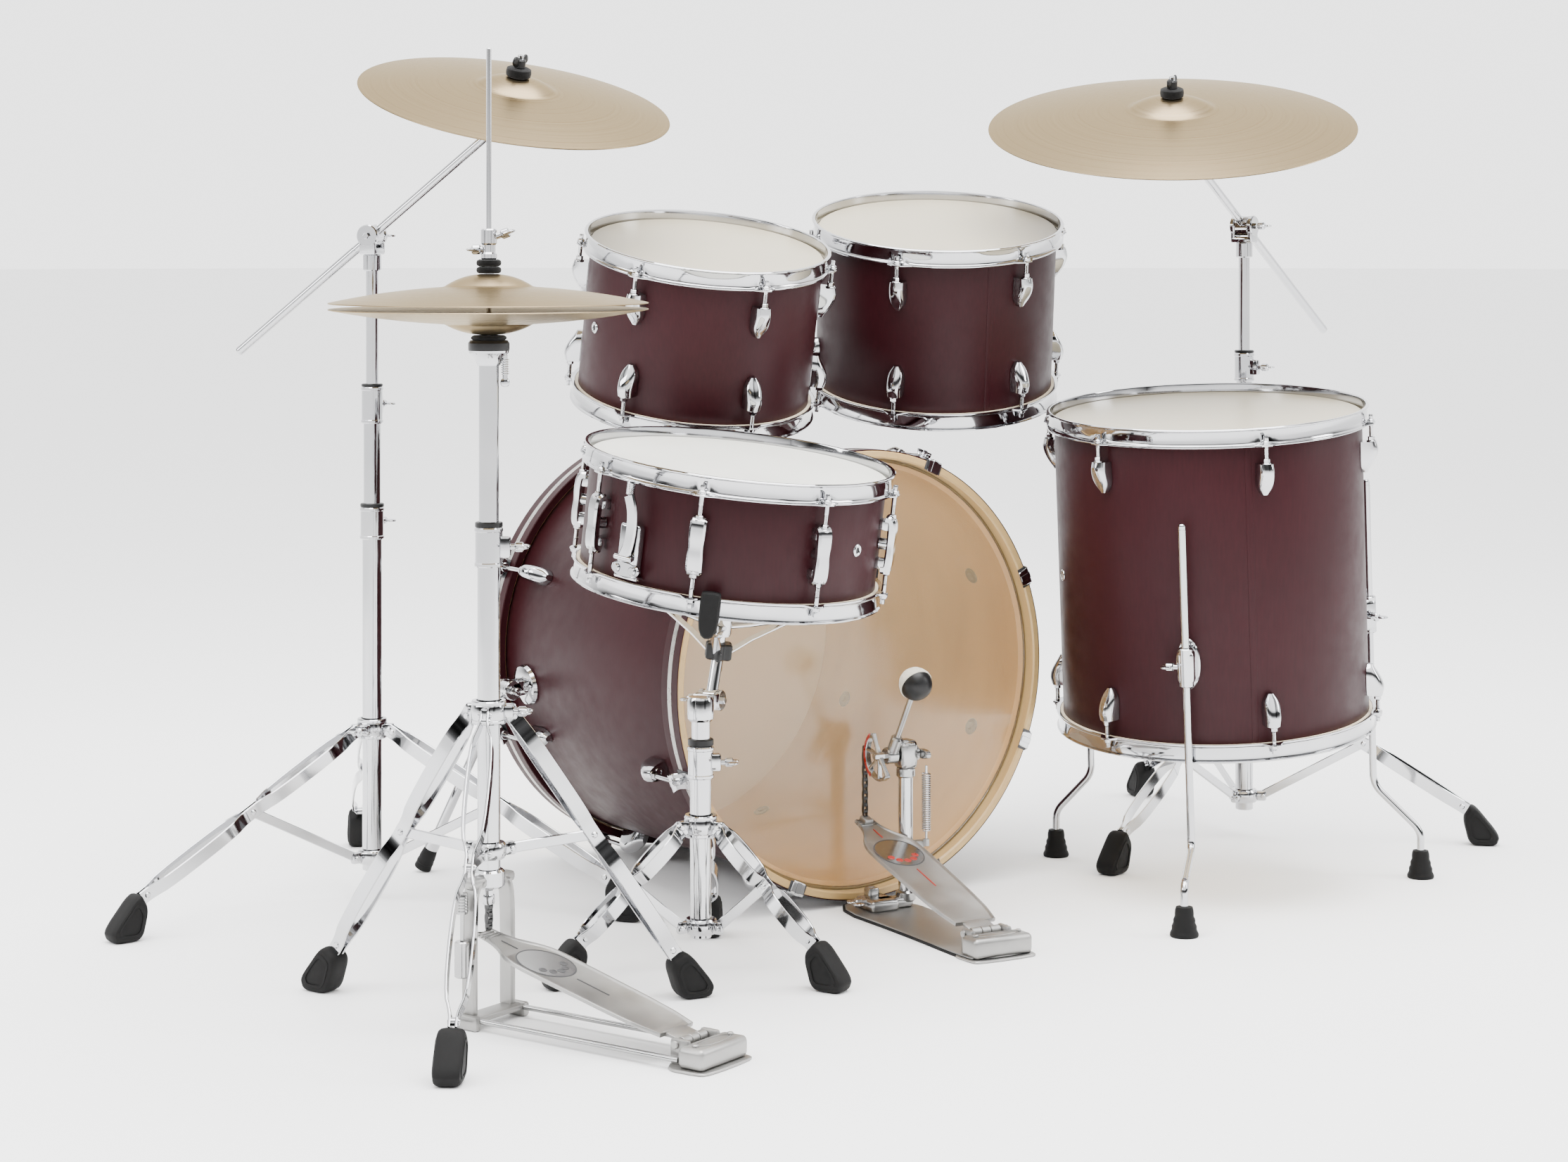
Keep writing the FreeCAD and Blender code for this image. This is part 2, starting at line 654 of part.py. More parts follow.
def floor_tom():
    radius = S.floor_diameter / 2
    depth = S.floor_depth
    lean = Vector(FLOOR_LEAN).normalize()
    middle = KIT + FLOOR_RIM - lean * float(depth / 2 + S.hoop_rise)
    place = frame(middle, lean)
    drum_shell("floor_tom", radius, depth, S.shell_wall, place)
    drum_hoops("floor_tom", radius, depth, TOM_RODS, FLOOR_FIRST_LUG, place)
    drum_heads("floor_tom", radius, depth, place)
    hardware = single_lugs(radius, depth, TOM_RODS, FLOOR_FIRST_LUG, place)
    for name, angle in FLOOR_LEGS.items():
        turn = turned(angle, place)
        x = radius + S.leg_offset
        level = turn * at(0, 0, -float(S.leg_bracket_drop))
        middle_x = float(radius) + 1.2 + (float(S.leg_offset) + 6.0) / 2
        casing = block(S.leg_offset + 6.0, 24.0, 44.0, level * at(middle_x, 0, -22.0))
        bore = cylinder(S.leg_radius + S.running_clearance, 60.0, level * at(x, 0, -30.0))
        sideways = turn.Rotation.multVec(Vector(0, -1, 0))
        bolt = wing_bolt(level.multVec(Vector(float(x), -11.0, 0)), sideways, 12.0, 26.0)
        hardware.append(cut("LegBracket", fuse("BracketBolt", [casing] + bolt), bore))
        top = turn.multVec(Vector(float(x), 0, float(S.leg_top)))
        bend = turn.multVec(Vector(float(x), 0, -float(depth / 2 + S.hoop_rise + S.leg_drop)))
        foot = KIT + FLOOR_FEET_CENTRE + polar(angle, S.leg_foot_circle)
        shin = foot + UP * float(S.leg_shin)
        sole = foot + UP * 10.0
        pieces = path_bar([top, bend, shin, sole], S.leg_radius)
        pieces.append(cone(S.leg_foot_radius, 12.0, S.leg_foot_height, Placement(foot, Rotation())))
        node("floor_tom_leg_" + name, fuse("FloorLeg", pieces))
    node("floor_tom_hardware", group("FloorTomHardware", hardware))


# ---- snare drum and its stand ---------------------------------------------------------------

SNARE_RODS = 8
SNARE_RIM = Vector(324.0, 440.0, 612.0)
SNARE_LEAN = Vector(-0.0458, 0.1288, 0.9906)
SNARE_FIRST_LUG = 43.6
STRAINER_ANGLE = 17.4
BASKET_FIRST_ARM = 50.6
SNARE_STAND = Vector(377.0, 434.0, 0.0)
SNARE_STAND_PIVOT_Z = 318.0


def snare_drum():
    radius = S.snare_diameter / 2
    depth = S.snare_depth
    lean = Vector(SNARE_LEAN).normalize()
    middle = KIT + SNARE_RIM - lean * float(depth / 2 + S.hoop_rise)
    place = frame(middle, lean)
    drum_shell("snare", radius, depth, S.shell_wall, place)
    drum_hoops("snare", radius, depth, SNARE_RODS, SNARE_FIRST_LUG, place)
    drum_heads("snare", radius, depth, place)
    hardware = bridge_lugs(radius, depth, SNARE_RODS, SNARE_FIRST_LUG, place)

    # the strainer stands on one side and the plain butt opposite it
    near = turned(STRAINER_ANGLE, place)
    far = turned(STRAINER_ANGLE + 180.0, place)
    face = float(radius) + 1.2
    hardware.append(block(14.0, 30.0, 74.0, near * at(face + 7.0, 0, -50.0)))
    hardware.append(block(12.0, 30.0, 30.0, far * at(face + 6.0, 0, -50.0)))
    node("snare_hardware", group("SnareHardware", hardware))
    lever = block(6.0, 22.0, 74.0, near * at(face + 14.0 + 4.0, 0, -28.0))
    knob = cylinder(5.0, 16.0, near * at(face + 14.0 + 4.0, 0, 46.0))
    tangent = near.Rotation.multVec(Vector(0, 1, 0))
    hinge = frame(near.multVec(Vector(face + 18.0, -13.0, -28.0)), tangent)
    pin = cylinder(3.5, 26.0, hinge)
    node("snare_lever", fuse("Lever", [lever, knob, pin]))

    strand_z = -float(depth) / 2 - float(S.film) - 2.0
    wires = block(2.0 * (radius - 22.0), 42.0, 1.4, near * at(0, 0, strand_z))
    node("snare_wires", group("Wires", [wires]))

    # basket: a stem and hub under the drum with three arms that end in padded fingers
    rim_low = -float(depth) / 2 - float(S.hoop_rise)
    hub_low = place.multVec(Vector(0, 0, rim_low - 88.0))
    flat = Vector(hub_low.x - SNARE_STAND.x - KIT.x, hub_low.y - SNARE_STAND.y - KIT.y, 0).normalize()
    pivot = KIT + SNARE_STAND + flat * 30.0 + UP * SNARE_STAND_PIVOT_Z
    axis = UP.cross(flat)
    pieces = [cylinder(14.0, 56.0, frame(hub_low, lean)), eye(pivot, axis, 12.0, Size(16.0, "16"))]
    pieces.append(bar(pivot, hub_low + lean * 12.0, 7.0))
    grip = float(radius) + float(S.hoop_gap) + float(S.hoop_flange) + float(S.seat_gap)
    for i in range(3):
        turn = turned(BASKET_FIRST_ARM + 120.0 * i, place)
        inner = turn.multVec(Vector(8.0, 0, rim_low - 46.0))
        knee = turn.multVec(Vector(grip - 34.0, 0, rim_low - 26.0))
        heel = turn.multVec(Vector(grip + 6.0, 0, rim_low - 10.0))
        tip = turn.multVec(Vector(grip + 6.0, 0, rim_low + 30.0))
        pieces.append(flat_bar(inner, knee, 15.0, 5.0))
        pieces.append(flat_bar(knee, heel, 15.0, 6.0))
        out = turn.Rotation.multVec(Vector(1, 0, 0))
        pieces.append(flat_bar(heel - lean * 6.0, tip, 20.0, 12.0, out))
    node("snare_basket", fuse("Basket", pieces))

    # upper tube with the fork that carries the basket's hinge
    upper = S.inner_tube_radius
    foot = KIT + SNARE_STAND
    tube_top = SNARE_STAND_PIVOT_Z + 9.0
    column = cylinder(upper, tube_top - 120.0, Placement(foot + UP * 120.0, Rotation()))
    cap = cylinder(S.collar_radius, 30.0, Placement(foot + UP * (tube_top - 29.0), Rotation()))
    cheeks = fork(pivot, axis, -flat, Size(12.5, "12.5"), Size(16.0, "16"))
    node("snare_stand_tube", fuse("SnareTube", [column, cap] + cheeks))


# ---- tripods --------------------------------------------------------------------------------

RUBBER = []


def loop_leg(length):
    """Two strips pinched together at both ends and in the middle, seen from above."""
    bow = S.leg_bow
    pinch = S.leg_pinch
    strip = S.strip
    shares = ((0.0, pinch), (0.12, bow), (0.38, bow), (0.5, pinch),
              (0.62, bow), (0.88, bow), (1.0, pinch))
    right = [(length * share, half) for share, half in shares]
    outer = right + [(x, -half) for x, half in reversed(right)]
    holes = []
    for start, bow_in, bow_out, end in ((0.05, 0.14, 0.36, 0.45), (0.55, 0.64, 0.86, 0.95)):
        upper = [(length * start, pinch - strip), (length * bow_in, bow - strip),
                 (length * bow_out, bow - strip), (length * end, pinch - strip)]
        holes.append(upper + [(x, -half) for x, half in reversed(upper)])
    return plate("LoopLeg", [outer] + holes, S.strip_width)


def tripod(axis, top_z, low_z, spread, angles, core):
    """Three looped legs from an upper collar, braced from a lower collar, each on a rubber foot."""
    axis = KIT + Vector(axis)
    collar = float(core) + 7.0
    ankle_r = spread - 24.0
    ankle_z = 50.0
    start_r = collar + 4.0
    length = math.hypot(ankle_r - start_r, top_z - ankle_z)
    fall = math.degrees(math.atan2(top_z - ankle_z, ankle_r - start_r))
    leg = loop_leg(length - float(S.seat_gap))
    middle_r = (start_r + ankle_r) / 2
    middle_z = (top_z + ankle_z) / 2
    brace_r = collar + 4.0
    brace_length = math.hypot(middle_r - brace_r, middle_z - low_z)
    brace = block(brace_length, S.brace_sheet, 12.0, at(brace_length / 2, 0, -6.0))
    pieces = []
    for z, height in ((top_z, 22.0), (low_z, 18.0)):
        pieces.append(cylinder(collar, height, Placement(axis + UP * (z - height / 2), Rotation())))
    for angle in angles:
        out = polar(angle)
        side = UP.cross(out)
        start = axis + out * start_r + UP * top_z
        down = math.radians(fall)
        way = out * math.cos(down) - UP * math.sin(down)
        pieces += copies(leg, [frame(start, way.cross(side) * -1.0, way)])
        rise = Vector(out * (middle_r - brace_r) + UP * (middle_z - low_z)).normalize()
        low = axis + out * brace_r + UP * low_z
        pieces += copies(brace, [frame(low, rise.cross(side) * -1.0, rise)])
        for z in (top_z, low_z):
            lug = frame(axis + out * (collar - 2.0) + UP * (z - 7.0), UP, out)
            pieces.append(block(16.0, 11.0, 14.0, lug * at(6.0)))
        RUBBER.append(rubber_foot(axis, out, side, way, spread, ankle_r, ankle_z))
    return pieces


def rubber_foot(axis, out, side, way, spread, ankle_r, ankle_z):
    """A wedge of rubber on a leg's end, flat where it meets the floor."""
    square = Vector(way.dot(UP) * -1.0, way.dot(out), 0).normalize() * 13.0
    points = [(ankle_r + square.x, ankle_z + square.y), (spread + 20.0, 15.0), (spread + 17.0, 0.0),
              (spread - 20.0, 0.0), (ankle_r - square.x, ankle_z - square.y)]
    place = Placement(Vector(axis), Rotation(out, UP, out.cross(UP), "ZXY"))
    return plate("RubberFoot", [points], S.foot_width, place)


def hollow_column(axis, low, high, bore, pieces, collar_low):
    """An outer tube with a clamp collar at its mouth, bored for the tube that slides in it."""
    base = KIT + Vector(axis)
    outer = cylinder(S.outer_tube_radius, high - low, Placement(base + UP * low, Rotation()))
    collar = cylinder(S.collar_radius, high - collar_low, Placement(base + UP * collar_low, Rotation()))
    joined = fuse("Column", [outer, collar] + pieces)
    floor = Placement(base + UP * (low + 30.0), Rotation())
    hole = cylinder(bore + S.running_clearance, high - low - 20.0, floor)
    return cut("BoredColumn", joined, hole)


def snare_stand():
    pieces = tripod(SNARE_STAND, 173.0, 54.0, 182.0, (353.2, 113.2, 233.2), S.outer_tube_radius)
    pieces += wing_bolt(KIT + SNARE_STAND + Vector(-12.0, 9.0, 258.0), (-0.821, 0.570, 0))
    pieces += wing_bolt(KIT + SNARE_STAND + Vector(-12.0, -9.0, 180.0), (-0.57, -0.821, 0), 16.0, 30.0)
    column = hollow_column(SNARE_STAND, 40.0, 276.0, S.inner_tube_radius, pieces, 229.0)
    node("snare_stand_base", column)


# ---- cymbals --------------------------------------------------------------------------------

def cymbal(name, diameter, bell_radius, rise, bell_rise, place, flip=1):
    """A bowed disc with a raised bell: the rim lies in the placement's XY plane."""
    radius = diameter / 2
    sheet = S.cymbal_sheet
    bow = rise - bell_rise
    upper = []
    for share in (1.0, 0.85, 0.7, 0.55, 0.42):
        upper.append((radius * share, bow * (1.0 - share * share)))
    shoulder = bow * (1.0 - (bell_radius / float(radius)) ** 2)
    for share in (1.0, 0.85, 0.6, 0.32):
        upper.append((bell_radius * share, shoulder + (rise - shoulder) * (1.0 - share ** 2.4)))
    upper.append((S.cymbal_hole, rise))
    lower = [(r, z - float(sheet)) for r, z in reversed(upper)]
    points = [(r, z * flip) for r, z in upper + lower]
    return node(name, lathe("Cymbal", [points], place))


# how far a bell's underside falls across a felt's radius
BELL_SLOPE = 1.6

CRASH = dict(axis=(520.0, -135.0, 0.0), pivot_z=872.0,
             centre=(398.0, 27.0, 1046.0), lean=(0.0304, 0.3242, 0.9455),
             spread=363.7, angles=(5.8, 125.8, 245.8), low_z=58.0, top_z=226.0, tail=248.0,
             collars=(474.0, 521.0, 626.0, 678.0), rise=33.0, bell=52.0, bell_rise=13.0)
RIDE = dict(axis=(-712.0, 209.0, 0.0), pivot_z=885.0,
            centre=(-493.0, 297.0, 1023.0), lean=(0.202, 0.2297, 0.9521),
            spread=339.6, angles=(15.0, 135.0, 255.0), low_z=60.0, top_z=230.0, tail=325.0,
            collars=(474.0, 521.0, 660.0, 705.0), rise=42.0, bell=60.0, bell_rise=15.0)


def cymbal_stand(name, diameter, axis, pivot_z, centre, lean, spread, angles, low_z, top_z,
                 tail, collars, rise, bell, bell_rise):
    base = KIT + Vector(axis)
    lean = Vector(lean).normalize()
    rim = KIT + Vector(centre)
    sheet = float(S.cymbal_sheet)
    felt_top = rise - sheet - float(S.seat_gap) - BELL_SLOPE
    felt_low = felt_top - float(S.felt_height)
    hinge = rim + lean * (felt_low - 34.0)
    pivot = base + UP * pivot_z
    way = (hinge - pivot).normalize()
    swing = UP.cross(way).normalize()
    pieces = tripod(axis, top_z, low_z, spread, angles, S.outer_tube_radius)
    pieces += wing_bolt(base + swing * 12.0 + UP * (collars[1] - 20.0), swing)
    column = hollow_column(axis, 40.0, collars[1], S.inner_tube_radius, pieces, collars[0])
    node(name + "_stand_base", column)

    # sliding upper tube with the boom's fork on top
    shaft = cylinder(S.inner_tube_radius, collars[3] - 250.0, Placement(base + UP * 250.0, Rotation()))
    lower = Placement(base + UP * collars[2], Rotation())
    upper = Placement(base + UP * collars[3], Rotation())
    collar = cylinder(S.collar_radius - 1.5, collars[3] - collars[2], lower)
    thin = cylinder(S.top_tube_radius, pivot_z - collars[3] - 20.0, upper)
    cheeks = fork(pivot, swing, -UP, S.boom_fork_radius, S.boom_fork_gap, 0.8)
    bolts = wing_bolt(base + swing * 11.0 + UP * (collars[3] - 20.0), swing)
    bolts += wing_bolt(pivot + swing * (float(S.boom_fork_gap) / 2 + float(S.cheek) - 1.0), swing, 10.0)
    node(name + "_tube", fuse("UpperTube", [shaft, collar, thin] + cheeks + bolts))

    # boom: a boss in the fork and a bar through it, with a fork of its own at the cymbal's end
    top = hinge - way * (float(S.tilter_fork_radius) + 6.0)
    boom = [eye(pivot, swing, S.boom_fork_radius - 1.0, S.boom_fork_gap),
            bar(pivot - way * tail, top, S.boom_radius)]
    boom += fork(hinge, swing, -way, S.tilter_fork_radius, S.tilter_fork_gap)
    node(name + "_boom", fuse("Boom", boom))

    # tilter: boss, stem, seat, felts and wing nut on the cymbal's axis
    def along(z):
        return frame(rim + lean * z, lean)

    sleeve = float(S.cymbal_hole) - 1.0
    upper = rise + float(S.seat_gap)
    tilter = [eye(hinge, swing, S.tilter_fork_radius - 1.0, S.tilter_fork_gap),
              cylinder(4.5, 34.0, frame(hinge, lean)),
              cone(7.0, 14.0, 8.0, along(felt_low - 8.0)),
              cylinder(S.felt_radius, S.felt_height, along(felt_low)),
              cylinder(sleeve, rise + 4.0 - felt_top, along(felt_top - 1.0)),
              cylinder(S.felt_radius - 1.0, S.felt_height, along(upper)),
              cylinder(S.cymbal_post_radius, 30.0, along(upper)),
              cylinder(8.0, 12.0, along(upper + float(S.felt_height) - 1.0)),
              block(26.0, 10.0, S.wing_nut_height - 8.0, along(upper + float(S.felt_height) + 8.0))]
    node(name + "_tilter", fuse("Tilter", tilter))
    cymbal(name + "_cymbal", diameter, bell, rise, bell_rise, frame(rim, lean))


# ---- hi-hat ---------------------------------------------------------------------------------

HAT_AXIS = Vector(698.0, 494.0, 0.0)
HAT_PEDAL_HEADING = 110.1
HAT_HEEL = 283.0
HAT_HINGE_Z = 24.0
HAT_TOE_Z = 98.0
HAT_TUBE_TOP = 556.0
HAT_FLOOR_Z = 150.0


def pedal_place(origin, heading):
    """Floor placement whose +Y points from a pedal's toe to its heel."""
    return Placement(KIT + Vector(origin), Rotation(UP, heading - 90.0))


def footboard(name, place, x, heel, hinge_z, toe, toe_z):
    """A sloping board with a narrow toe, hinged on a pin at the heel."""
    length = math.hypot(heel - toe, toe_z - hinge_z)
    slope = math.degrees(math.atan2(toe_z - hinge_z, heel - toe))
    half = S.board_width / 2
    neck = S.toe_width / 2
    points = [(neck, 0.0), (neck, 22.0), (half, 72.0),
              (half * 0.92, length - 60.0), (half * 0.78, length - 22.0)]
    points += [(-x_side, y) for x_side, y in reversed(points)]
    hinge = place * at(x, heel, hinge_z)
    tilt = hinge * Placement(Vector(), Rotation(Vector(1, 0, 0), -slope))
    board = plate("Board", [points], S.board_sheet, tilt * at(0, -length, 0))
    barrel_place = hinge * Placement(Vector(-20.0, 0, 0), Rotation(Vector(0, 1, 0), 90))
    barrel = cylinder(S.hinge_pin + 3.0, 40.0, barrel_place)
    web = block(40.0, 24.0, 4.0, tilt * at(0, -14.0, -2.0))
    bore = cylinder(S.hinge_pin + S.running_clearance, 50.0, barrel_place * at(0, 0, -5.0))
    return node(name, cut("Footboard", fuse("BoardAndBarrel", [board, barrel, web]), bore))


def heel_plate(place, x, heel, hinge_z):
    """The casting behind the footboard: a block, two ears and the hinge pin between them."""
    back = heel + 10.0
    pieces = [block(S.heel_width, 34.0, hinge_z - 1.0, place * at(x, back + 17.0, 3.0)),
              block(S.heel_width + 10.0, 62.0, 3.0, place * at(x, back + 10.0, 0))]
    for side in (-1, 1):
        pieces.append(block(8.0, 24.0, hinge_z + 4.0, place * at(x + side * 26.0, heel + 4.0, 2.0)))
    pin_place = place * at(x - 30.0, heel, hinge_z) * Placement(Vector(), Rotation(Vector(0, 1, 0), 90))
    pieces.append(cylinder(S.hinge_pin, 60.0, pin_place))
    return pieces


def hi_hat():
    base = KIT + HAT_AXIS
    floor = pedal_place(HAT_AXIS, HAT_PEDAL_HEADING)

    def upright(z):
        return Placement(base + UP * z, Rotation())

    pieces = tripod(HAT_AXIS, 345.0, 191.0, 250.9, (291.3, 51.3, 171.3), S.outer_tube_radius)
    right = Vector(-0.821, 0.570, 0)
    pieces += wing_bolt(base + right * 13.0 + UP * 530.0, right)
    pieces += wing_bolt(base + right * 17.0 + UP * 345.0, right, 18.0)
    pieces.append(cylinder(18.0, 20.0, upright(HAT_FLOOR_Z)))
    frame_half = 32.0
    for side in (-1, 1):
        pieces.append(block(7.0, 20.0, 150.0, floor * at(side * frame_half, 0, 14.0)))
        rod = floor * at(side * 38.0, 10.0, 11.0) * Placement(Vector(), Rotation(Vector(1, 0, 0), -90))
        pieces.append(cylinder(3.0, HAT_HEEL, rod))
    pieces.append(block(frame_half * 2 + 7.0, 20.0, 12.0, floor * at(0, 0, HAT_FLOOR_Z + 2.0)))
    pieces.append(block(92.0, 26.0, 6.0, floor * at(0, 6.0, 8.0)))
    for side in (-1, 1):
        pieces.append(block(10.0, 30.0, 16.0, floor * at(side * 41.0, 6.0, 0)))
    pieces += heel_plate(floor, 0.0, HAT_HEEL, HAT_HINGE_Z)
    column = hollow_column(HAT_AXIS, HAT_FLOOR_Z, HAT_TUBE_TOP, S.inner_tube_radius, pieces, 506.0)
    throat = cylinder(S.hat_rod_radius + 1.0, 60.0, upright(HAT_FLOOR_Z - 5.0))
    node("hihat_stand_base", cut("HatBase", column, throat))
    footboard("hihat_footboard", floor, 0.0, HAT_HEEL, HAT_HINGE_Z, -8.0, HAT_TOE_Z)

    # upper tube and the seat that carries the lower cymbal
    seat = S.hat_seat_z
    shaft = cylinder(S.inner_tube_radius, seat - 30.0 - 380.0, upright(380.0))
    cup = cone(S.inner_tube_radius + 3.0, S.hat_seat_radius, 14.0, upright(float(seat) - 32.0))
    seat_place = upright(float(seat) - 18.0)
    felt = cylinder(S.hat_seat_radius, 18.0 - S.seat_gap, seat_place)
    hole = cylinder(S.hat_rod_radius + 1.2, 420.0, upright(370.0))
    knob = bar(base + Vector(right) * 18.0 + UP * (float(seat) - 44.0),
               base + Vector(right) * 18.0 + UP * (float(seat) - 20.0), 3.0)
    node("hihat_tube", cut("HatTube", fuse("SeatTube", [shaft, cup, felt, knob]), hole))

    # the pair of cymbals, the lower one upside down
    rise = float(S.hat_rise)
    low_rim = float(seat) + rise
    cymbal("hihat_bottom_cymbal", S.hat_diameter, 50.0, rise, 11.0, upright(low_rim), flip=-1)
    high_rim = low_rim + float(S.hat_gap)
    top_rise = rise + 4.0
    cymbal("hihat_top_cymbal", S.hat_diameter, 50.0, top_rise, 13.0, upright(high_rim))

    # pull rod with the chain that hangs from it to the footboard's toe
    rod_low = HAT_FLOOR_Z - 12.0
    rod = cylinder(S.hat_rod_radius, S.hat_rod_top - rod_low, upright(rod_low))
    clevis = cylinder(6.0, 14.0, upright(rod_low - 8.0))
    chain_low = HAT_TOE_Z + 2.0 + float(S.board_sheet)
    chain = block(10.0, 7.0, rod_low - chain_low, upright(chain_low))
    node("hihat_rod", fuse("PullRod", [rod, clevis, chain]))

    # clutch: lower nut, sleeve through the cymbal, two felts, body and wing screw
    bell = high_rim + top_rise
    sheet = float(S.cymbal_sheet)
    gap = float(S.seat_gap)
    sleeve = cylinder(S.cymbal_hole - 1.0, 60.0, upright(bell - 14.0))
    clamp = bell - sheet - gap - BELL_SLOPE
    nut = cylinder(10.0, 6.0, upright(clamp - 8.0))
    under = cylinder(12.0, 4.0, upright(clamp - 4.0))
    over = cylinder(14.0, 16.0, upright(bell + gap))
    body = cylinder(S.clutch_radius, 34.0, upright(bell + 16.0))
    screw = wing_bolt(base + right * 8.0 + UP * (bell + 40.0), right + UP * 0.5, 14.0, 20.0)
    bore = cylinder(S.hat_rod_radius + S.running_clearance, 90.0, upright(bell - 20.0))
    clutch = fuse("ClutchBody", [sleeve, nut, under, over, body] + screw)
    node("hihat_clutch", cut("Clutch", clutch, bore))


# ---- bass pedal -----------------------------------------------------------------------------

KICK_ORIGIN = Vector(2.0, 310.0, 0.0)
KICK_HEADING = 84.8
KICK_BOARD_X = 17.4
KICK_HEEL = 246.0
KICK_HINGE_Z = 26.0
KICK_TOE_Z = 112.0
KICK_POST_X = -22.0
KICK_CLAMP_Y = -50.0


def kick_pedal():
    floor = pedal_place(KICK_ORIGIN, KICK_HEADING)
    axle_z = S.kick_axle_z
    chain_y = -(float(S.cam_radius) + 2.6)
    sideways = Placement(Vector(), Rotation(Vector(0, 1, 0), 90))

    # base: sole plate under the hoop, hoop clamp, post with its bearing block, heel casting
    outline_points = [(-44.0, -64.0), (62.0, -64.0), (58.0, 120.0), (KICK_BOARD_X + 46.0, 292.0),
                      (KICK_BOARD_X - 46.0, 292.0), (-40.0, 120.0)]
    thickness = S.kick_plate
    sole = plate("Sole", [outline_points], thickness, floor * at(0, 0, float(thickness) / 2))
    post = cylinder(9.5, axle_z - 12.0, floor * at(KICK_POST_X, 0, 2.0))
    housing = block(24.0, 26.0, 36.0, floor * at(KICK_POST_X, 0, float(axle_z) - 18.0))
    ramp = block(40.0, 46.0, 16.0, floor * at(KICK_BOARD_X, KICK_CLAMP_Y + 44.0, 4.0))
    stop = block(14.0, 16.0, 26.0, floor * at(KICK_BOARD_X, KICK_CLAMP_Y + 30.0, 4.0))
    near_post = floor.multVec(Vector(KICK_POST_X, 0, 14.0))
    link = bar(near_post, floor.multVec(Vector(KICK_BOARD_X, 0, 12.0)), 7.0)
    pieces = [sole, post, housing, ramp, stop, link]
    pieces += heel_plate(floor, KICK_BOARD_X, KICK_HEEL, KICK_HINGE_Z)
    bore = cylinder(S.kick_axle_radius + S.running_clearance, 60.0,
                    floor * at(KICK_POST_X - 30.0, 0, axle_z) * sideways)
    node("kick_base", cut("KickBase", fuse("KickFrame", pieces), bore))
    footboard("kick_footboard", floor, KICK_BOARD_X, KICK_HEEL, KICK_HINGE_Z, -42.0, KICK_TOE_Z)

    # axle, cam, spring rocker, beater shaft and ball turn as one
    axle = cylinder(S.kick_axle_radius, 72.0, floor * at(-46.0, 0, axle_z) * sideways)
    cam_place = floor * at(KICK_BOARD_X - 4.0, 0, axle_z) * sideways
    cam = cylinder(S.cam_radius, 8.0, turned(-150.0, cam_place), 190.0)
    hub = cylinder(11.0, 16.0, floor * at(-7.0, 0, axle_z) * sideways)
    rocker = block(7.0, 30.0, 12.0, floor * at(-42.0, 9.0, float(axle_z) - 6.0))
    back = math.radians(float(S.beater_back_angle))
    way = floor.Rotation.multVec(Vector(0, math.sin(back), math.cos(back)))
    centre = floor.multVec(Vector(0, 0, float(axle_z)))
    shaft = bar(centre, centre + way * (float(S.beater_reach) + 8.0), S.beater_shaft)
    clamp = bar(centre + way * 6.0, centre + way * 30.0, 8.0)
    head = ball(S.beater_radius, centre + way * float(S.beater_reach))
    node("kick_beater", fuse("Beater", [axle, cam, hub, rocker, clamp, shaft, head]))

    chain_low = KICK_TOE_Z + float(S.board_sheet) + 1.0
    links = floor * at(KICK_BOARD_X, chain_y, chain_low)
    chain = block(7.0, 4.0, float(axle_z) + 6.0 - chain_low, links)
    node("kick_chain", group("Chain", [chain]))
    spring = cylinder(6.5, 96.0, floor * at(-42.0, 18.0, 92.0))
    node("kick_spring", group("Spring", [spring]))


# ---- the whole kit --------------------------------------------------------------------------

bass_drum()
tom_holder()
for tom_name, tom_sizes in TOMS.items():
    tom(tom_name, **tom_sizes)
floor_tom()
snare_drum()
snare_stand()
cymbal_stand("crash", S.crash_diameter, **CRASH)
cymbal_stand("ride", S.ride_diameter, **RIDE)
hi_hat()
kick_pedal()
node("rubber_feet", group("RubberFeet", RUBBER))
doc.recompute()

faults = [item.Name for item in doc.Objects if {"Invalid", "Error"} & set(item.State)]
faults += [item.Label for item in NODES if item.Shape.isNull() or not item.Shape.isValid()]
if faults:
    raise SystemExit("failed objects: " + ", ".join(faults))
whole = FreeCAD.BoundBox()
for item in NODES:
    whole.add(item.Shape.BoundBox)
    item.Shape.exportStep(f"parts/{item.Label}.step")
corners = (whole.XMin, whole.XMax, whole.YMin, whole.YMax, whole.ZMin, whole.ZMax)
print(len(NODES), "nodes", [round(v, 1) for v in corners])
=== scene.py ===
import math

import bmesh
import bpy
import numpy as np
from mathutils import Matrix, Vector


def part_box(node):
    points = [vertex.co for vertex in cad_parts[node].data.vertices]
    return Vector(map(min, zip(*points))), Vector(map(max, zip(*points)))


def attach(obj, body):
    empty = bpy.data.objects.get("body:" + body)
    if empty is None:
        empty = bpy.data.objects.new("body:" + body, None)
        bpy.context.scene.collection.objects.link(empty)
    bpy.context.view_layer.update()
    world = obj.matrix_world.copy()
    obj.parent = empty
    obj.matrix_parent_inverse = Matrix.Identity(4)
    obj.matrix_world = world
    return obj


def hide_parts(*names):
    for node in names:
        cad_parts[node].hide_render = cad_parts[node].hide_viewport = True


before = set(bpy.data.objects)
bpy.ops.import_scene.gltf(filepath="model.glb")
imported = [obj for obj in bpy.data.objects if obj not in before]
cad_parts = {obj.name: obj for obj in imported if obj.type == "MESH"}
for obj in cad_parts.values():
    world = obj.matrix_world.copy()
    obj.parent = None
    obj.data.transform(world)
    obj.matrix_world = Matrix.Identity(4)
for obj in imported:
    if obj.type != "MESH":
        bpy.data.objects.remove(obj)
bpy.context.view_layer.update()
print("frame loaded")

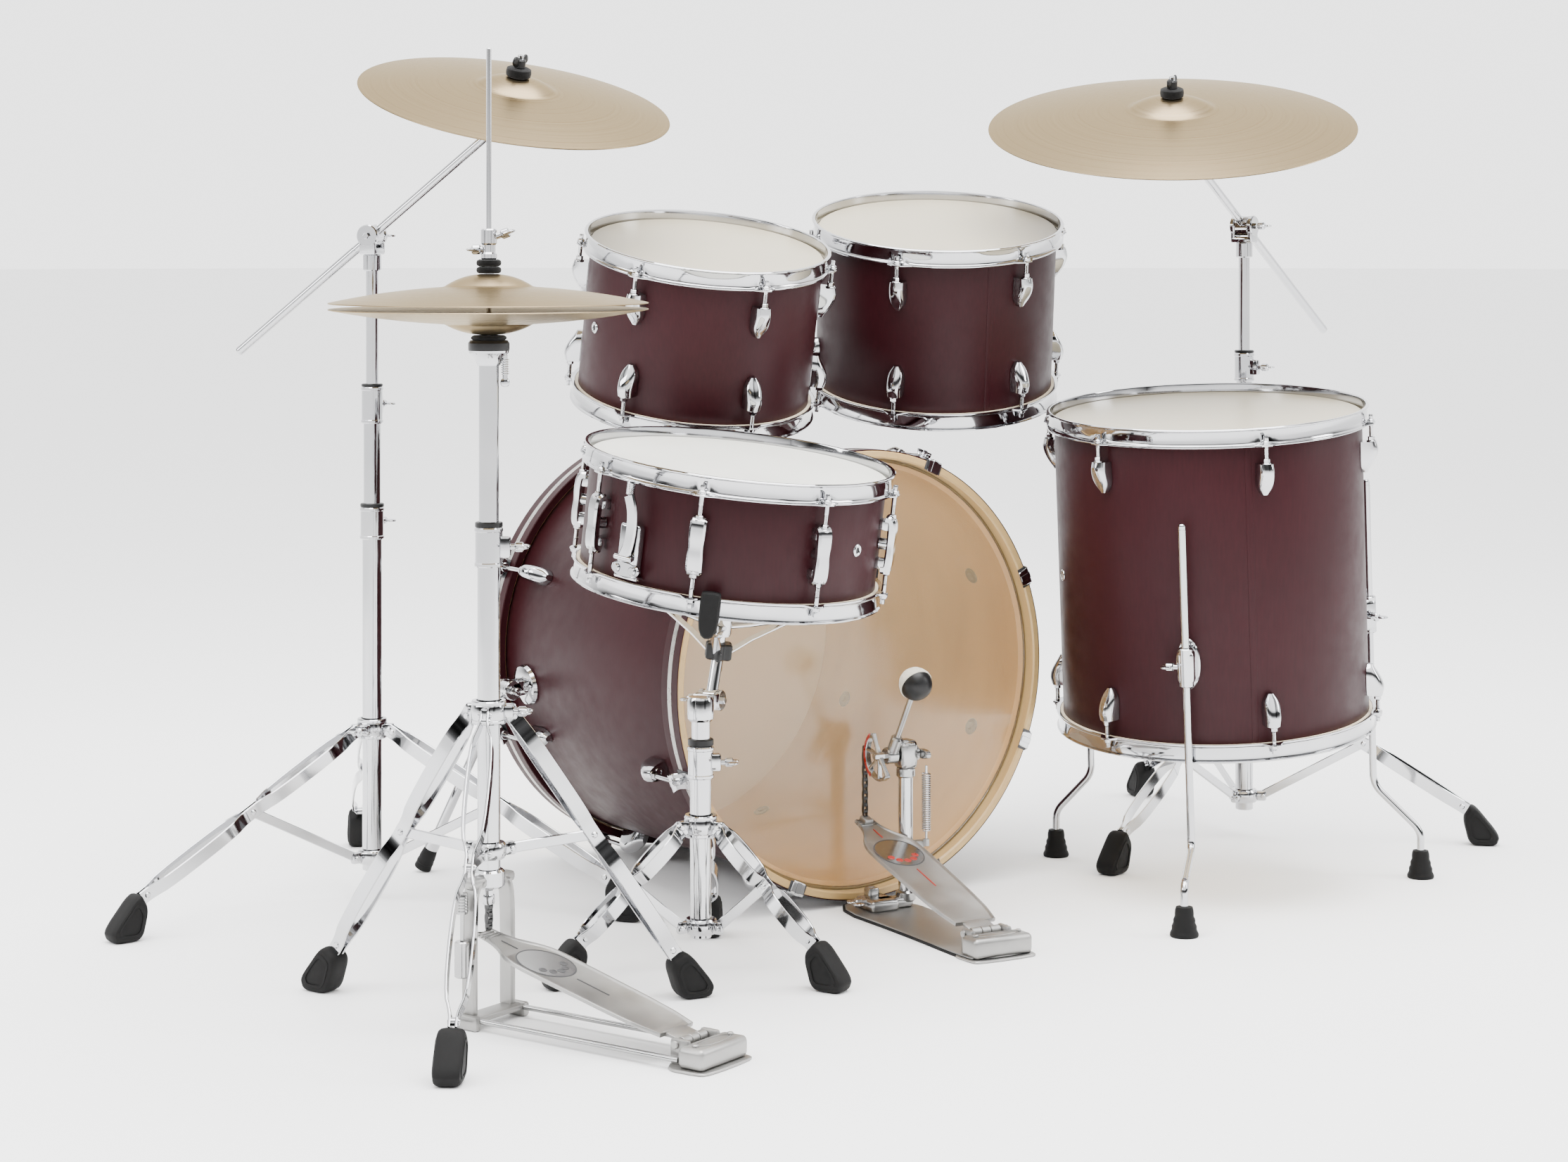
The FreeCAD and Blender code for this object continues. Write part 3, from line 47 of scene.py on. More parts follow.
# Shapes are worked out in millimetres, in the row frame, and become metres in piece().
shellLow, shellHigh = [np.array(corner) * 1000 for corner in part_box("bass_shell")]
bassCentre = (shellLow + shellHigh) / 2
bassRadius = (shellHigh[0] - shellLow[0]) / 2
bassDepth = shellHigh[1] - shellLow[1]
kit = np.array((bassCentre[0], bassCentre[1] - 7.5, 0.0))
up = np.array((0.0, 0.0, 1.0))
# radii of the tubes that slide in one another on every stand
outerTube, innerTube, thinTube = 12.7, 11.1, 8.0


# places

def unit(v):
    v = np.asarray(v, float)
    return v / np.linalg.norm(v)


def axes(origin, along=(0, 0, 1), across=None):
    # a place whose z column runs along one way and whose x column is as near as it can be to another
    z = unit(along)
    if across is None:
        across = (1, 0, 0) if abs(z[0]) < 0.9 else (0, 1, 0)
    y = unit(np.cross(z, across))
    m = np.eye(4)
    m[:3, 0], m[:3, 1], m[:3, 2], m[:3, 3] = np.cross(y, z), y, z, origin
    return m


def shifted(m, x=0.0, y=0.0, z=0.0):
    out = m.copy()
    out[:3, 3] = m[:3, 3] + m[:3, :3] @ np.array((x, y, z), float)
    return out


def turned(m, degrees, axis=2):
    i, j = ((1, 2), (2, 0), (0, 1))[axis]
    r = np.eye(4)
    c, s = math.cos(math.radians(degrees)), math.sin(math.radians(degrees))
    r[i, i], r[j, j], r[i, j], r[j, i] = c, c, -s, s
    return m @ r


def point(m, x=0.0, y=0.0, z=0.0):
    return (m @ np.array((x, y, z, 1.0)))[:3]


def polar(degrees, radius=1.0):
    t = math.radians(degrees)
    return np.array((radius * math.cos(t), radius * math.sin(t), 0))


def around(m, first, count):
    # equal turns about z
    return [turned(m, first + 360.0 * i / count) for i in range(count)]


# surfaces: a part is its points and its four-sided faces

def skin(points, loopRows=False, loopColumns=True):
    # faces between the neighbours of a grid of points, rows by columns
    rows, columns = points.shape[:2]
    index = np.arange(rows * columns).reshape(rows, columns)
    down, along = np.roll(index, -1, 0), np.roll(index, -1, 1)
    faces = np.stack([index, down, np.roll(down, -1, 1), along], -1)
    if not loopRows:
        faces = faces[:-1]
    if not loopColumns:
        faces = faces[:, :-1]
    return points.reshape(-1, 3), faces.reshape(-1, 4)


def closed(points):
    # both end rows drawn to their middles, so that a swept form has no open end
    first = np.broadcast_to(points[:1].mean(1, keepdims=True), points[:1].shape)
    last = np.broadcast_to(points[-1:].mean(1, keepdims=True), points[-1:].shape)
    return skin(np.concatenate([first, points, last]))


def joined(*parts):
    starts = np.cumsum([0] + [len(v) for v, f in parts[:-1]])
    faces = [f + n for (v, f), n in zip(parts, starts)]
    return np.concatenate([v for v, f in parts]), np.concatenate(faces)


def placed(part, *places):
    # the part once at each place
    v, f = part
    stack = np.array(places)
    points = np.einsum("kij,nj->kni", stack[:, :3, :3], v) + stack[:, None, :3, 3]
    faces = f[None] + (np.arange(len(places)) * len(v))[:, None, None]
    return points.reshape(-1, 3), faces.reshape(-1, 4)


def lathe(profile, place=None, steps=40, loop=False):
    # (r cos t, r sin t, z): a profile of radius and height carried round the z axis
    p = np.array(profile, float)
    t = np.linspace(0, 2 * np.pi, steps, endpoint=False)
    flat = np.ones(steps)
    grid = np.stack([np.outer(p[:, 0], np.cos(t)), np.outer(p[:, 0], np.sin(t)),
                     np.outer(p[:, 1], flat)], -1)
    part = skin(grid, loopRows=loop)
    return part if place is None else placed(part, place)


def peg(radius, low, high, place=None, bevel=0.6, steps=24, top=None):
    # a solid round from low to high with eased ends; top is its radius at the high end
    top = radius if top is None else top
    profile = [(0, low), (radius - bevel, low), (radius, low + bevel), (top, high - bevel),
               (top - bevel, high), (0, high)]
    return lathe(profile, place, steps)


def pipe(outer, inner, low, high, place=None, bevel=0.5, steps=40):
    profile = [(inner, low), (outer - bevel, low), (outer, low + bevel), (outer, high - bevel),
               (outer - bevel, high), (inner, high)]
    return lathe(profile, place, steps, loop=True)


def bar(start, end, radius, bevel=0.6, steps=20, top=None):
    way = np.asarray(end, float) - start
    return peg(radius, 0, np.linalg.norm(way), axes(start, way), bevel, steps, top)


def softened(points, rounds=2, loop=False):
    # corner cutting: each run is replaced by its quarter and three-quarter points
    p = np.array(points, float)
    for _ in range(rounds):
        following = np.roll(p, -1, 0) if loop else p[1:]
        start = p if loop else p[:-1]
        pairs = np.stack([start * 0.75 + following * 0.25, start * 0.25 + following * 0.75], 1)
        pairs = pairs.reshape(-1, p.shape[1])
        p = pairs if loop else np.concatenate([p[:1], pairs, p[-1:]])
    return p


def sweep(path, section, wide=(0, 0, 1), scale=1.0):
    # path + side * x + wide * y for each point (x, y) of the section, its ends closed
    path = np.array(path, float)
    way = np.gradient(path, axis=0)
    way /= np.linalg.norm(way, axis=1, keepdims=True)
    side = np.cross(way, wide)
    side /= np.linalg.norm(side, axis=1, keepdims=True)
    lift = np.cross(side, way)
    s = np.array(section, float)
    scale = np.broadcast_to(np.asarray(scale, float), (len(path),))[:, None, None]
    grid = path[:, None] + (side[:, None] * s[None, :, :1] + lift[:, None] * s[None, :, 1:]) * scale
    return closed(grid)


def roundSection(radius, steps=16):
    t = np.linspace(0, 2 * np.pi, steps, endpoint=False)
    return np.stack([radius * np.cos(t), radius * np.sin(t)], -1)


def stripSection(thick, wide, ease=0.7):
    x, y = thick / 2, wide / 2
    return [(-x + ease, -y), (x - ease, -y), (x, -y + ease), (x, y - ease), (x - ease, y),
            (-x + ease, y), (-x, y - ease), (-x, -y + ease)]


def cane(points, radius, steps=16, rounds=2, wide=None):
    # a round bar bent along a path
    p = np.array(points, float)
    if wide is None:
        run = unit(p[-1] - p[0])
        wide = np.eye(3)[np.argmin(abs(run))]
    return sweep(softened(p, rounds), roundSection(radius, steps), wide)


def roundBlock(size, place, ease=2.0, steps=3):
    # each point is a corner of an inner box plus the ease times a direction that turns over the sphere
    half = np.array(size, float) / 2
    ease = min(ease, half.min() * 0.98)
    quarter = np.linspace(0, np.pi / 2, steps)
    turn = np.concatenate([quarter + k * np.pi / 2 for k in range(4)])
    tilt = np.concatenate([quarter - np.pi / 2, quarter])
    signX, signY = np.repeat((1, -1, -1, 1), steps), np.repeat((1, 1, -1, -1), steps)
    signZ = np.repeat((-1, 1), steps)
    flat = np.ones_like(turn)
    grid = np.stack([
        np.outer(np.cos(tilt), np.cos(turn)) * ease + signX * (half[0] - ease),
        np.outer(np.cos(tilt), np.sin(turn)) * ease + signY * (half[1] - ease),
        np.outer(np.sin(tilt), flat) * ease + np.outer(signZ, flat) * (half[2] - ease)], -1)
    return placed(closed(grid), place)


def blob(size, place, power=1.0):
    # a squashed sphere, squarer where power is under one
    rows, columns = 9, 14
    tilt = np.linspace(-np.pi / 2, np.pi / 2, rows)
    turn = np.linspace(0, 2 * np.pi, columns, endpoint=False)

    def soft(v):
        return np.sign(v) * np.abs(v) ** power

    grid = np.stack([
        np.outer(soft(np.cos(tilt)), soft(np.cos(turn))) * size[0] / 2,
        np.outer(soft(np.cos(tilt)), soft(np.sin(turn))) * size[1] / 2,
        np.outer(soft(np.sin(tilt)), np.ones(columns)) * size[2] / 2], -1)
    return placed(skin(grid), place)


def slab(outline, low, high, place=None, bevel=0.6):
    # a flat outline carried from low to high, its edges eased and its faces closed over its middle
    o = np.array(outline, float)
    away = o - o.mean(0)
    inset = o - away / np.linalg.norm(away, axis=1, keepdims=True) * bevel
    rows = [(inset, low), (o, low + bevel), (o, high - bevel), (inset, high)]
    grid = np.stack([np.column_stack([p, np.full(len(p), z)]) for p, z in rows])
    part = closed(grid)
    return part if place is None else placed(part, place)


def band(outer, inner, low, high, place=None, bevel=0.4):
    # a flat ring between two outlines of as many points
    outer, inner = np.array(outer, float), np.array(inner, float)
    mix = outer * 0.85 + inner * 0.15
    rows = [(inner, low), (mix, low), (outer, low + bevel), (outer, high - bevel), (mix, high),
            (inner, high)]
    grid = np.stack([np.column_stack([p, np.full(len(p), z)]) for p, z in rows])
    part = skin(grid, loopRows=True)
    return part if place is None else placed(part, place)


def oval(x, y, steps=40, centre=(0, 0)):
    t = np.linspace(0, 2 * np.pi, steps, endpoint=False)
    return np.stack([centre[0] + x * np.cos(t), centre[1] + y * np.sin(t)], -1)


def coil(start, end, radius, turns, wire, steps=14):
    # a helix about the line from start to end
    t = np.linspace(0, turns * 2 * np.pi, int(turns * steps))
    m = axes(start, np.asarray(end, float) - start)
    length = np.linalg.norm(np.asarray(end, float) - start)
    path = np.column_stack([radius * np.cos(t), radius * np.sin(t), length * t / t[-1], np.ones(len(t))])
    return sweep((path @ m.T)[:, :3], roundSection(wire, 6), m[:3, 2])


def piece(name, body, material, parts, stands=()):
    vertices, faces = joined(*parts)
    mesh = bpy.data.meshes.new(name)
    mesh.vertices.add(len(vertices))
    mesh.vertices.foreach_set("co", (vertices * 0.001).ravel())
    mesh.loops.add(faces.size)
    mesh.loops.foreach_set("vertex_index", faces.astype(np.int32).ravel())
    mesh.polygons.add(len(faces))
    mesh.polygons.foreach_set("loop_start", np.arange(0, faces.size, 4, dtype=np.int32))
    mesh.update(calc_edges=True)
    form = bmesh.new()
    form.from_mesh(mesh)
    bmesh.ops.remove_doubles(form, verts=form.verts, dist=2e-6)
    bmesh.ops.recalc_face_normals(form, faces=form.faces)
    form.to_mesh(mesh)
    form.free()
    mesh.polygons.foreach_set("use_smooth", np.ones(len(mesh.polygons), bool))
    mesh.set_sharp_from_angle(angle=math.radians(33))
    mesh.materials.append(material)
    item = bpy.data.objects.new(name, mesh)
    bpy.context.scene.collection.objects.link(item)
    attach(item, body)
    if stands:
        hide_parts(*stands)
    return item


# finishes

def newMaterial(name):
    material = bpy.data.materials.new(name)
    material.use_nodes = True
    nodes = material.node_tree.nodes
    return material, material.node_tree, nodes["Principled BSDF"]


def nodeOf(tree, kind, settings=(), inputs=()):
    node = tree.nodes.new(kind)
    for key, value in dict(settings).items():
        setattr(node, key, value)
    for key, value in dict(inputs).items():
        if hasattr(value, "is_linked"):
            tree.links.new(value, node.inputs[key])
        else:
            node.inputs[key].default_value = value
    return node


def noise(tree, vector, scale, detail=3.0, rough=0.55):
    inputs = {"Vector": vector, "Scale": scale, "Detail": detail, "Roughness": rough}
    return nodeOf(tree, "ShaderNodeTexNoise", {}, inputs).outputs["Fac"]


def ranged(tree, value, low, high, fromLow=0.3, fromHigh=0.7):
    inputs = {"Value": value, "From Min": fromLow, "From Max": fromHigh, "To Min": low, "To Max": high}
    return nodeOf(tree, "ShaderNodeMapRange", {}, inputs).outputs["Result"]


def blended(tree, factor, first, second):
    node = nodeOf(tree, "ShaderNodeMix", {"data_type": "RGBA"})
    tree.links.new(factor, node.inputs["Factor"])
    for socket, colour in (("A", first), ("B", second)):
        target = [i for i in node.inputs if i.name == socket and i.type == "RGBA"][0]
        if hasattr(colour, "is_linked"):
            tree.links.new(colour, target)
        else:
            target.default_value = (*colour, 1.0)
    return [o for o in node.outputs if o.type == "RGBA"][0]


def raised(tree, shader, height, strength, distance=0.001):
    inputs = {"Height": height, "Strength": strength, "Distance": distance}
    bump = nodeOf(tree, "ShaderNodeBump", {}, inputs)
    tree.links.new(bump.outputs["Normal"], shader.inputs["Normal"])
    return bump.outputs["Normal"]


def finish(name, light, dark, rough, broad=18.0, fine=420.0, relief=0.12, sway=0.25, **sockets):
    # two tones mixed by slow noise, with finer noise in the gloss and the relief
    material, tree, shader = newMaterial(name)
    place = nodeOf(tree, "ShaderNodeTexCoord").outputs["Object"]
    slow, quick = noise(tree, place, broad), noise(tree, place, fine, 4.0)
    tree.links.new(blended(tree, ranged(tree, slow, 0, 1), dark, light), shader.inputs["Base Color"])
    tree.links.new(ranged(tree, slow, rough * (1 - sway), rough * (1 + sway)), shader.inputs["Roughness"])
    raised(tree, shader, quick, relief, 0.0004)
    for socket, value in sockets.items():
        shader.inputs[socket.replace("_", " ")].default_value = value
    return material


chrome = finish("chromePlate", (0.54, 0.54, 0.55), (0.47, 0.475, 0.49), 0.07, 9, 160, 0.015, 0.35,
                Metallic=1.0)
castMetal = finish("satinCasting", (0.36, 0.355, 0.345), (0.31, 0.305, 0.295), 0.4, 26, 900, 0.05, 0.12,
                   Metallic=0.9)
brightCast = finish("polishedCasting", (0.42, 0.42, 0.415), (0.33, 0.33, 0.33), 0.2, 22, 500, 0.05,
                    Metallic=1.0)
darkSteel = finish("oiledSteel", (0.10, 0.10, 0.10), (0.045, 0.045, 0.045), 0.38, 60, 900, 0.1,
                   Metallic=1.0)
springSteel = finish("springSteel", (0.55, 0.55, 0.56), (0.42, 0.42, 0.43), 0.22, 60, 900, 0.1,
                     Metallic=1.0)
rubber = finish("blackRubber", (0.0065, 0.0062, 0.0062), (0.003, 0.003, 0.003), 0.66, 40, 1300, 0.35,
                0.12, Specular_IOR_Level=0.18)
blackPlastic = finish("blackPlastic", (0.006, 0.006, 0.0065), (0.003, 0.003, 0.003), 0.38, 30, 900, 0.08,
                      Specular_IOR_Level=0.3)
blackFelt = finish("blackFelt", (0.009, 0.0085, 0.0085), (0.003, 0.003, 0.003), 0.95, 260, 2600, 1.0,
                   0.05, Sheen_Weight=0.12, Specular_IOR_Level=0.1)
creamFelt = finish("creamFelt", (0.72, 0.68, 0.57), (0.58, 0.54, 0.44), 0.95, 240, 2600, 0.9, 0.05,
                   Sheen_Weight=0.4)
redEnamel = finish("redEnamel", (0.34, 0.010, 0.005), (0.26, 0.007, 0.0035), 0.35, 60, 900, 0.06)
greyEnamel = finish("greyEnamel", (0.05, 0.05, 0.053), (0.035, 0.035, 0.037), 0.4, 60, 900, 0.06)
coatedHead = finish("coatedHead", (0.66, 0.655, 0.60), (0.61, 0.605, 0.55), 0.6, 7, 1500, 0.55, 0.08,
                    Specular_IOR_Level=0.3)
creamHead = finish("smoothCreamHead", (0.43, 0.385, 0.285), (0.39, 0.345, 0.25), 0.36, 6, 500, 0.05,
                   0.15, Specular_IOR_Level=0.35)
whiteHead = finish("whiteHead", (0.86, 0.74, 0.55), (0.80, 0.68, 0.50), 0.5, 5, 900, 0.2, 0.1)
clearHead = finish("clearHead", (0.78, 0.58, 0.32), (0.75, 0.55, 0.29), 0.12, 4, 60, 0.0, 0.2,
                   Alpha=0.17, Specular_IOR_Level=0.9, IOR=1.8)
silverInlay = finish("silverInlay", (0.42, 0.41, 0.39), (0.34, 0.33, 0.31), 0.3, 60, 600, 0.1,
                     Metallic=0.6)


def lacquer():
    # burgundy satin lacquer: slow cloudiness, a dim up-and-down grain and a thin worn coat
    material, tree, shader = newMaterial("burgundyLacquer")
    place = nodeOf(tree, "ShaderNodeTexCoord").outputs["Object"]
    cloud = noise(tree, place, 3.2, 4.0)
    grainPlace = nodeOf(tree, "ShaderNodeMapping", {},
                        {"Vector": place, "Scale": (1.0, 1.0, 0.06)}).outputs["Vector"]
    grain = noise(tree, grainPlace, 380.0, 3.0)
    base = blended(tree, ranged(tree, cloud, 0, 1), (0.0215, 0.0024, 0.0042), (0.0290, 0.0036, 0.0060))
    marked = blended(tree, ranged(tree, grain, 0, 0.35), base, (0.0135, 0.0016, 0.0030))
    tree.links.new(marked, shader.inputs["Base Color"])
    tree.links.new(ranged(tree, noise(tree, place, 45.0), 0.42, 0.52), shader.inputs["Roughness"])
    raised(tree, shader, noise(tree, place, 240.0), 0.06, 0.0004)
    shader.inputs["Specular IOR Level"].default_value = 0.16
    shader.inputs["Coat Weight"].default_value = 0.03
    shader.inputs["Coat Roughness"].default_value = 0.3
    return material


def maple(name, light, dark, stretch):
    # pale wood: long bands bent by noise, with short darker flecks
    material, tree, shader = newMaterial(name)
    place = nodeOf(tree, "ShaderNodeTexCoord").outputs["Object"]
    long = nodeOf(tree, "ShaderNodeMapping", {}, {"Vector": place, "Scale": stretch}).outputs["Vector"]
    bands, flecks = noise(tree, long, 14.0, 5.0, 0.6), noise(tree, long, 160.0, 3.0, 0.7)
    base = blended(tree, ranged(tree, bands, 0, 1, 0.35, 0.65), dark, light)
    tree.links.new(blended(tree, ranged(tree, flecks, 0, 0.4, 0.55, 0.75), base,
                           [c * 0.72 for c in dark]), shader.inputs["Base Color"])
    tree.links.new(ranged(tree, bands, 0.36, 0.5), shader.inputs["Roughness"])
    raised(tree, shader, flecks, 0.12, 0.0004)
    shader.inputs["Coat Weight"].default_value = 0.15
    return material


def bronze(name, place):
    # lathed bronze: tone, gloss and relief follow noise over the distance from the cymbal's axis
    material, tree, shader = newMaterial(name)
    spot = nodeOf(tree, "ShaderNodeTexCoord").outputs["Object"]
    m = np.array(place)
    turn = [float(a) for a in fkEuler(m)]
    inputs = {"Vector": spot, "Location": [float(c) / 1000 for c in m[:3, 3]], "Rotation": turn}
    local = nodeOf(tree, "ShaderNodeMapping", {"vector_type": "TEXTURE"}, inputs).outputs["Vector"]
    parts = nodeOf(tree, "ShaderNodeSeparateXYZ", {}, {"Vector": local})
    flat = nodeOf(tree, "ShaderNodeCombineXYZ", {},
                  {"X": parts.outputs["X"], "Y": parts.outputs["Y"]}).outputs["Vector"]
    radius = nodeOf(tree, "ShaderNodeVectorMath", {"operation": "LENGTH"}, {0: flat}).outputs["Value"]
    rings = [nodeOf(tree, "ShaderNodeTexNoise", {"noise_dimensions": "1D"},
                    {"W": radius, "Scale": s, "Detail": 3.0}).outputs["Fac"] for s in (260.0, 1100.0)]
    stain = noise(tree, spot, 7.0, 4.0)
    base = blended(tree, ranged(tree, rings[0], 0, 1), (0.225, 0.170, 0.100), (0.262, 0.203, 0.124))
    base = blended(tree, ranged(tree, stain, 0, 0.45), base, (0.24, 0.185, 0.115))
    tree.links.new(base, shader.inputs["Base Color"])
    tree.links.new(ranged(tree, rings[0], 0.27, 0.33), shader.inputs["Roughness"])
    raised(tree, shader, rings[1], 0.22, 0.0005)
    shader.inputs["Metallic"].default_value = 1.0
    shader.inputs["Specular Tint"].default_value = (0.80, 0.72, 0.58, 1)
    return material


def fkEuler(m):
    # the turn of a place as angles about x, y and z
    return (math.atan2(m[2, 1], m[2, 2]), -math.asin(max(-1.0, min(1.0, m[2, 0]))),
            math.atan2(m[1, 0], m[0, 0]))


burgundy = lacquer()
shellMaple = maple("shellMaple", (0.60, 0.44, 0.26), (0.50, 0.35, 0.19), (1.0, 1.0, 1.0))
bassMaple = maple("bassMaple", (0.62, 0.345, 0.125), (0.52, 0.27, 0.09), (0.3, 1.0, 0.3))
hoopMaple = maple("hoopMaple", (0.55, 0.37, 0.155), (0.48, 0.305, 0.12), (0.35, 3.0, 0.35))
print("finishes made")


# parts that many pieces share

def wingBolt(centre, out, reach=14.0, span=32.0):
    # a threaded shank, a boss and two flat lobes that lean outwards
    m = axes(centre, out, np.cross(unit(out), up))
    lobes = []
    for side in (-1, 1):
        tip = shifted(m, side * span * 0.29, 0, reach + 4)
        lobes.append(blob((span * 0.52, 4.2, 14), turned(tip, side * 20, 1), 0.8))
    return joined(peg(3.4, -4, reach, m), peg(5.6, reach - 5, reach + 5, m, 1.4), *lobes)


def hexNut(radius, low, high, place):
    return peg(radius, low, high, place, 0.7, 6)


def squareKey(x, low):
    # the washer, boss and square head of a tension rod
    m = shifted(np.eye(4), x)
    profile = [(0, low), (5.6, low), (5.6, low + 1.3), (4.9, low + 1.7), (4.9, low + 3.6),
               (3.6, low + 4.6), (0, low + 4.6)]
    return joined(lathe(profile, m, 20), roundBlock((5.4, 5.4, 7), shifted(m, 0, 0, low + 7.4), 1.0))


def tensionRod(radius, depth, low):
    # rod, swivel nut at the lug's mouth and key head over the hoop's ear
    x, top = radius + 13.0, depth / 2 - 9.0
    thread = [(0, low - 3), (3.0, low - 3)]
    thread += [(2.55 + 0.35 * (k % 2), low + 7 + k * 0.9) for k in range(14)]
    thread += [(2.9, low + 20), (2.9, top), (0, top)]
    return joined(lathe(thread, shifted(np.eye(4), x), 12),
                  hexNut(4.6, low - 1, low + 6.5, shifted(np.eye(4), x)), squareKey(x, top))


def bulletLug(radius, top, stand=21.5, width=11.2, height=41.0):
    # a D section whose half width and depth follow the height: round below, flat above
    s = np.linspace(0, 1, 15)
    half = width * np.where(s < 0.42, np.sqrt(np.clip(1 - (1 - s / 0.42) ** 2, 0.12, 1)),
                            1 - 0.07 * ((s - 0.42) / 0.58) ** 2)
    swell = 0.34 + 0.66 * np.sin(np.clip(s / 0.78, 0, 1) * np.pi / 2) ** 1.2
    deep = stand * swell * (1 - 0.10 * np.clip((s - 0.8) / 0.2, 0, 1))
    t = np.linspace(0, 2 * np.pi, 24, endpoint=False)
    out = np.clip(np.cos(t), 0, 1) ** 0.5
    grid = np.stack([
        radius + 0.4 + np.outer(deep, out),
        np.outer(half, np.sign(np.sin(t)) * np.abs(np.sin(t)) ** 0.75),
        np.outer(top - height + height * s, np.ones(24))], -1)
    return joined(closed(grid), pipe(6.4, 3.4, top - 1.5, top + 1.6, shifted(np.eye(4), radius + 13.0),
                                     0.6, 20))


def flangedHoop(radius, depth, rods):
    # a flanged hoop section whose lower lip reaches out into an ear beside each rod
    steps = rods * 32
    t = np.linspace(0, 2 * np.pi, steps, endpoint=False)
    arc = np.abs((t * rods / (2 * np.pi) + 0.5) % 1 - 0.5) * 2 * np.pi / rods * radius
    ear = np.clip((15.0 - arc) / 9.0, 0, 1)
    ear = ear * ear * (3 - 2 * ear)
    section = np.array([
        (4.8, 9.8, 0), (5.2, 11.4, 0), (6.6, 12.0, 0), (8.6, 11.8, 0), (9.5, 10.9, 0), (9.4, 9.8, 0),
        (8.3, 9.1, 0), (7.2, 8.4, 0),
        (6.8, 7.0, 0), (6.8, -6.4, 0), (7.2, -7.8, 0.1), (8.3, -8.6, 0.75), (9.2, -8.9, 1),
        (9.6, -9.8, 1.03), (9.4, -11.2, 1.02),
        (8.6, -11.6, 0.95), (6.4, -11.5, 0.3), (4.8, -10.8, 0)])
    r = radius + section[:, :1] + section[:, 2:] * 8.6 * ear[None]
    z = depth / 2 + section[:, 1:2] - section[:, 2:] * 0.8 * (1 - ear[None])
    return skin(np.stack([r * np.cos(t), r * np.sin(t), z * np.ones_like(r)], -1), loopRows=True)


def headSkin(radius, depth):
    # the film with its rounded collar
    top = depth / 2
    return [(0, top + 0.05), (radius - 2, top + 0.05), (radius + 0.3, top - 1.0),
            (radius + 0.3, top - 10.8), (radius + 4.2, top - 10.8),
            (radius + 4.2, top - 5.0), (radius + 0.9, top - 5.0), (radius + 0.9, top - 1.2),
            (radius - 0.4, top + 0.45), (radius - 3, top + 0.6), (0, top + 0.6)]


def flip(m):
    return turned(m, 180, 0)


def shellParts(radius, depth, wall, place):
    # an outer skin and a wooden lining whose edges slope up to the heads
    h = depth / 2
    outer = [(radius - 1.3, -h + 2), (radius - 0.6, -h + 1), (radius, -h + 2.5), (radius, h - 2.5),
             (radius - 0.6, h - 1), (radius - 1.3, h - 2)]
    inner = radius - wall
    lining = [(inner, -h + 4), (radius - 2.2, -h + 0.1), (radius - 1.35, -h + 1.0),
              (radius - 1.35, h - 1.0), (radius - 2.2, h - 0.1), (inner, h - 4)]
    return lathe(outer, place, 128, True), lathe(lining, place, 128, True)


def ventHole(radius, place):
    # a rolled metal eyelet round a black disc, painted shade laid on the shell where the hole would be
    m = axes(point(place, radius), place[:3, 0], place[:3, 2])
    eyelet = [(3.6, 0.1), (3.6, 1.2), (4.6, 2.0), (6.2, 2.0), (7.4, 1.0), (7.6, 0.1)]
    return lathe(eyelet, m, 28, True), peg(3.7, 0.1, 0.5, m, 0.1, 20)


drums = {
    "tomLeft": dict(node="tom_left", body="tom_left_drum", radius=152.4, depth=203.2,
                    rim=(168, 133, 867), lean=(0.0465, 0.2483, 0.9676), first=24.1, rods=6, vent=-6,
                    seam=None),
    "tomRight": dict(node="tom_right", body="tom_right_drum", radius=165.1, depth=228.6,
                     rim=(-231, 106, 894), lean=(0.1254, 0.2074, 0.9702), first=34.2, rods=6, vent=None,
                     seam=78),
    "floorTom": dict(node="floor_tom", body="kit", radius=203.2, depth=406.4, rim=(-420, 447, 646),
                     lean=(0.0823, 0.0475, 0.9955), first=7.4, rods=6, vent=-26.4, seam=62),
    "snare": dict(node="snare", body="snare_drum", radius=177.8, depth=139.7, rim=(324, 440, 612),
                  lean=(-0.0458, 0.1288, 0.9906), first=43.6, rods=8, vent=111, seam=None)}


def drumPlace(d):
    lean = unit(d["lean"])
    m = axes(kit + d["rim"] - lean * (d["depth"] / 2 + 12), lean)
    heading = math.degrees(math.atan2(m[1, 0], m[0, 0])) if "tom_" in d["node"][:4] else 0.0
    return m, m if not heading else turned(m, -heading)


def bridgeLug(radius, top):
    # a bowed bar that stands off the shell between two feet, with a bored side
    z = np.array((-top, -top * 0.98, -top * 0.5, 0, top * 0.5, top * 0.98, top))
    x = radius + np.array((7.0, 14.2, 15.4, 15.0, 15.4, 14.2, 7.0))
    path = softened(np.column_stack([x, np.zeros(7), z]), 2)
    waist = 1 - 0.10 * np.exp(-(path[:, 2] / 9.0) ** 2)
    body = sweep(path, stripSection(10.0, 19.0, 2.4), (0, 1, 0), waist)
    feet = [roundBlock((12, 17, 13), shifted(np.eye(4), radius + 4.9, 0, side * (top - 6.5)), 1.5)
            for side in (-1, 1)]
    mouths = [pipe(6.2, 3.4, top - 2, top + 1.5, m, 0.6, 20)
              for m in (shifted(np.eye(4), radius + 13.0), flip(shifted(np.eye(4), radius + 13.0)))]
    stud = peg(7.0, 0.3, 14.0, axes((radius, 0, 0), (1, 0, 0)), 1.0)
    return joined(body, *feet, *mouths, stud)


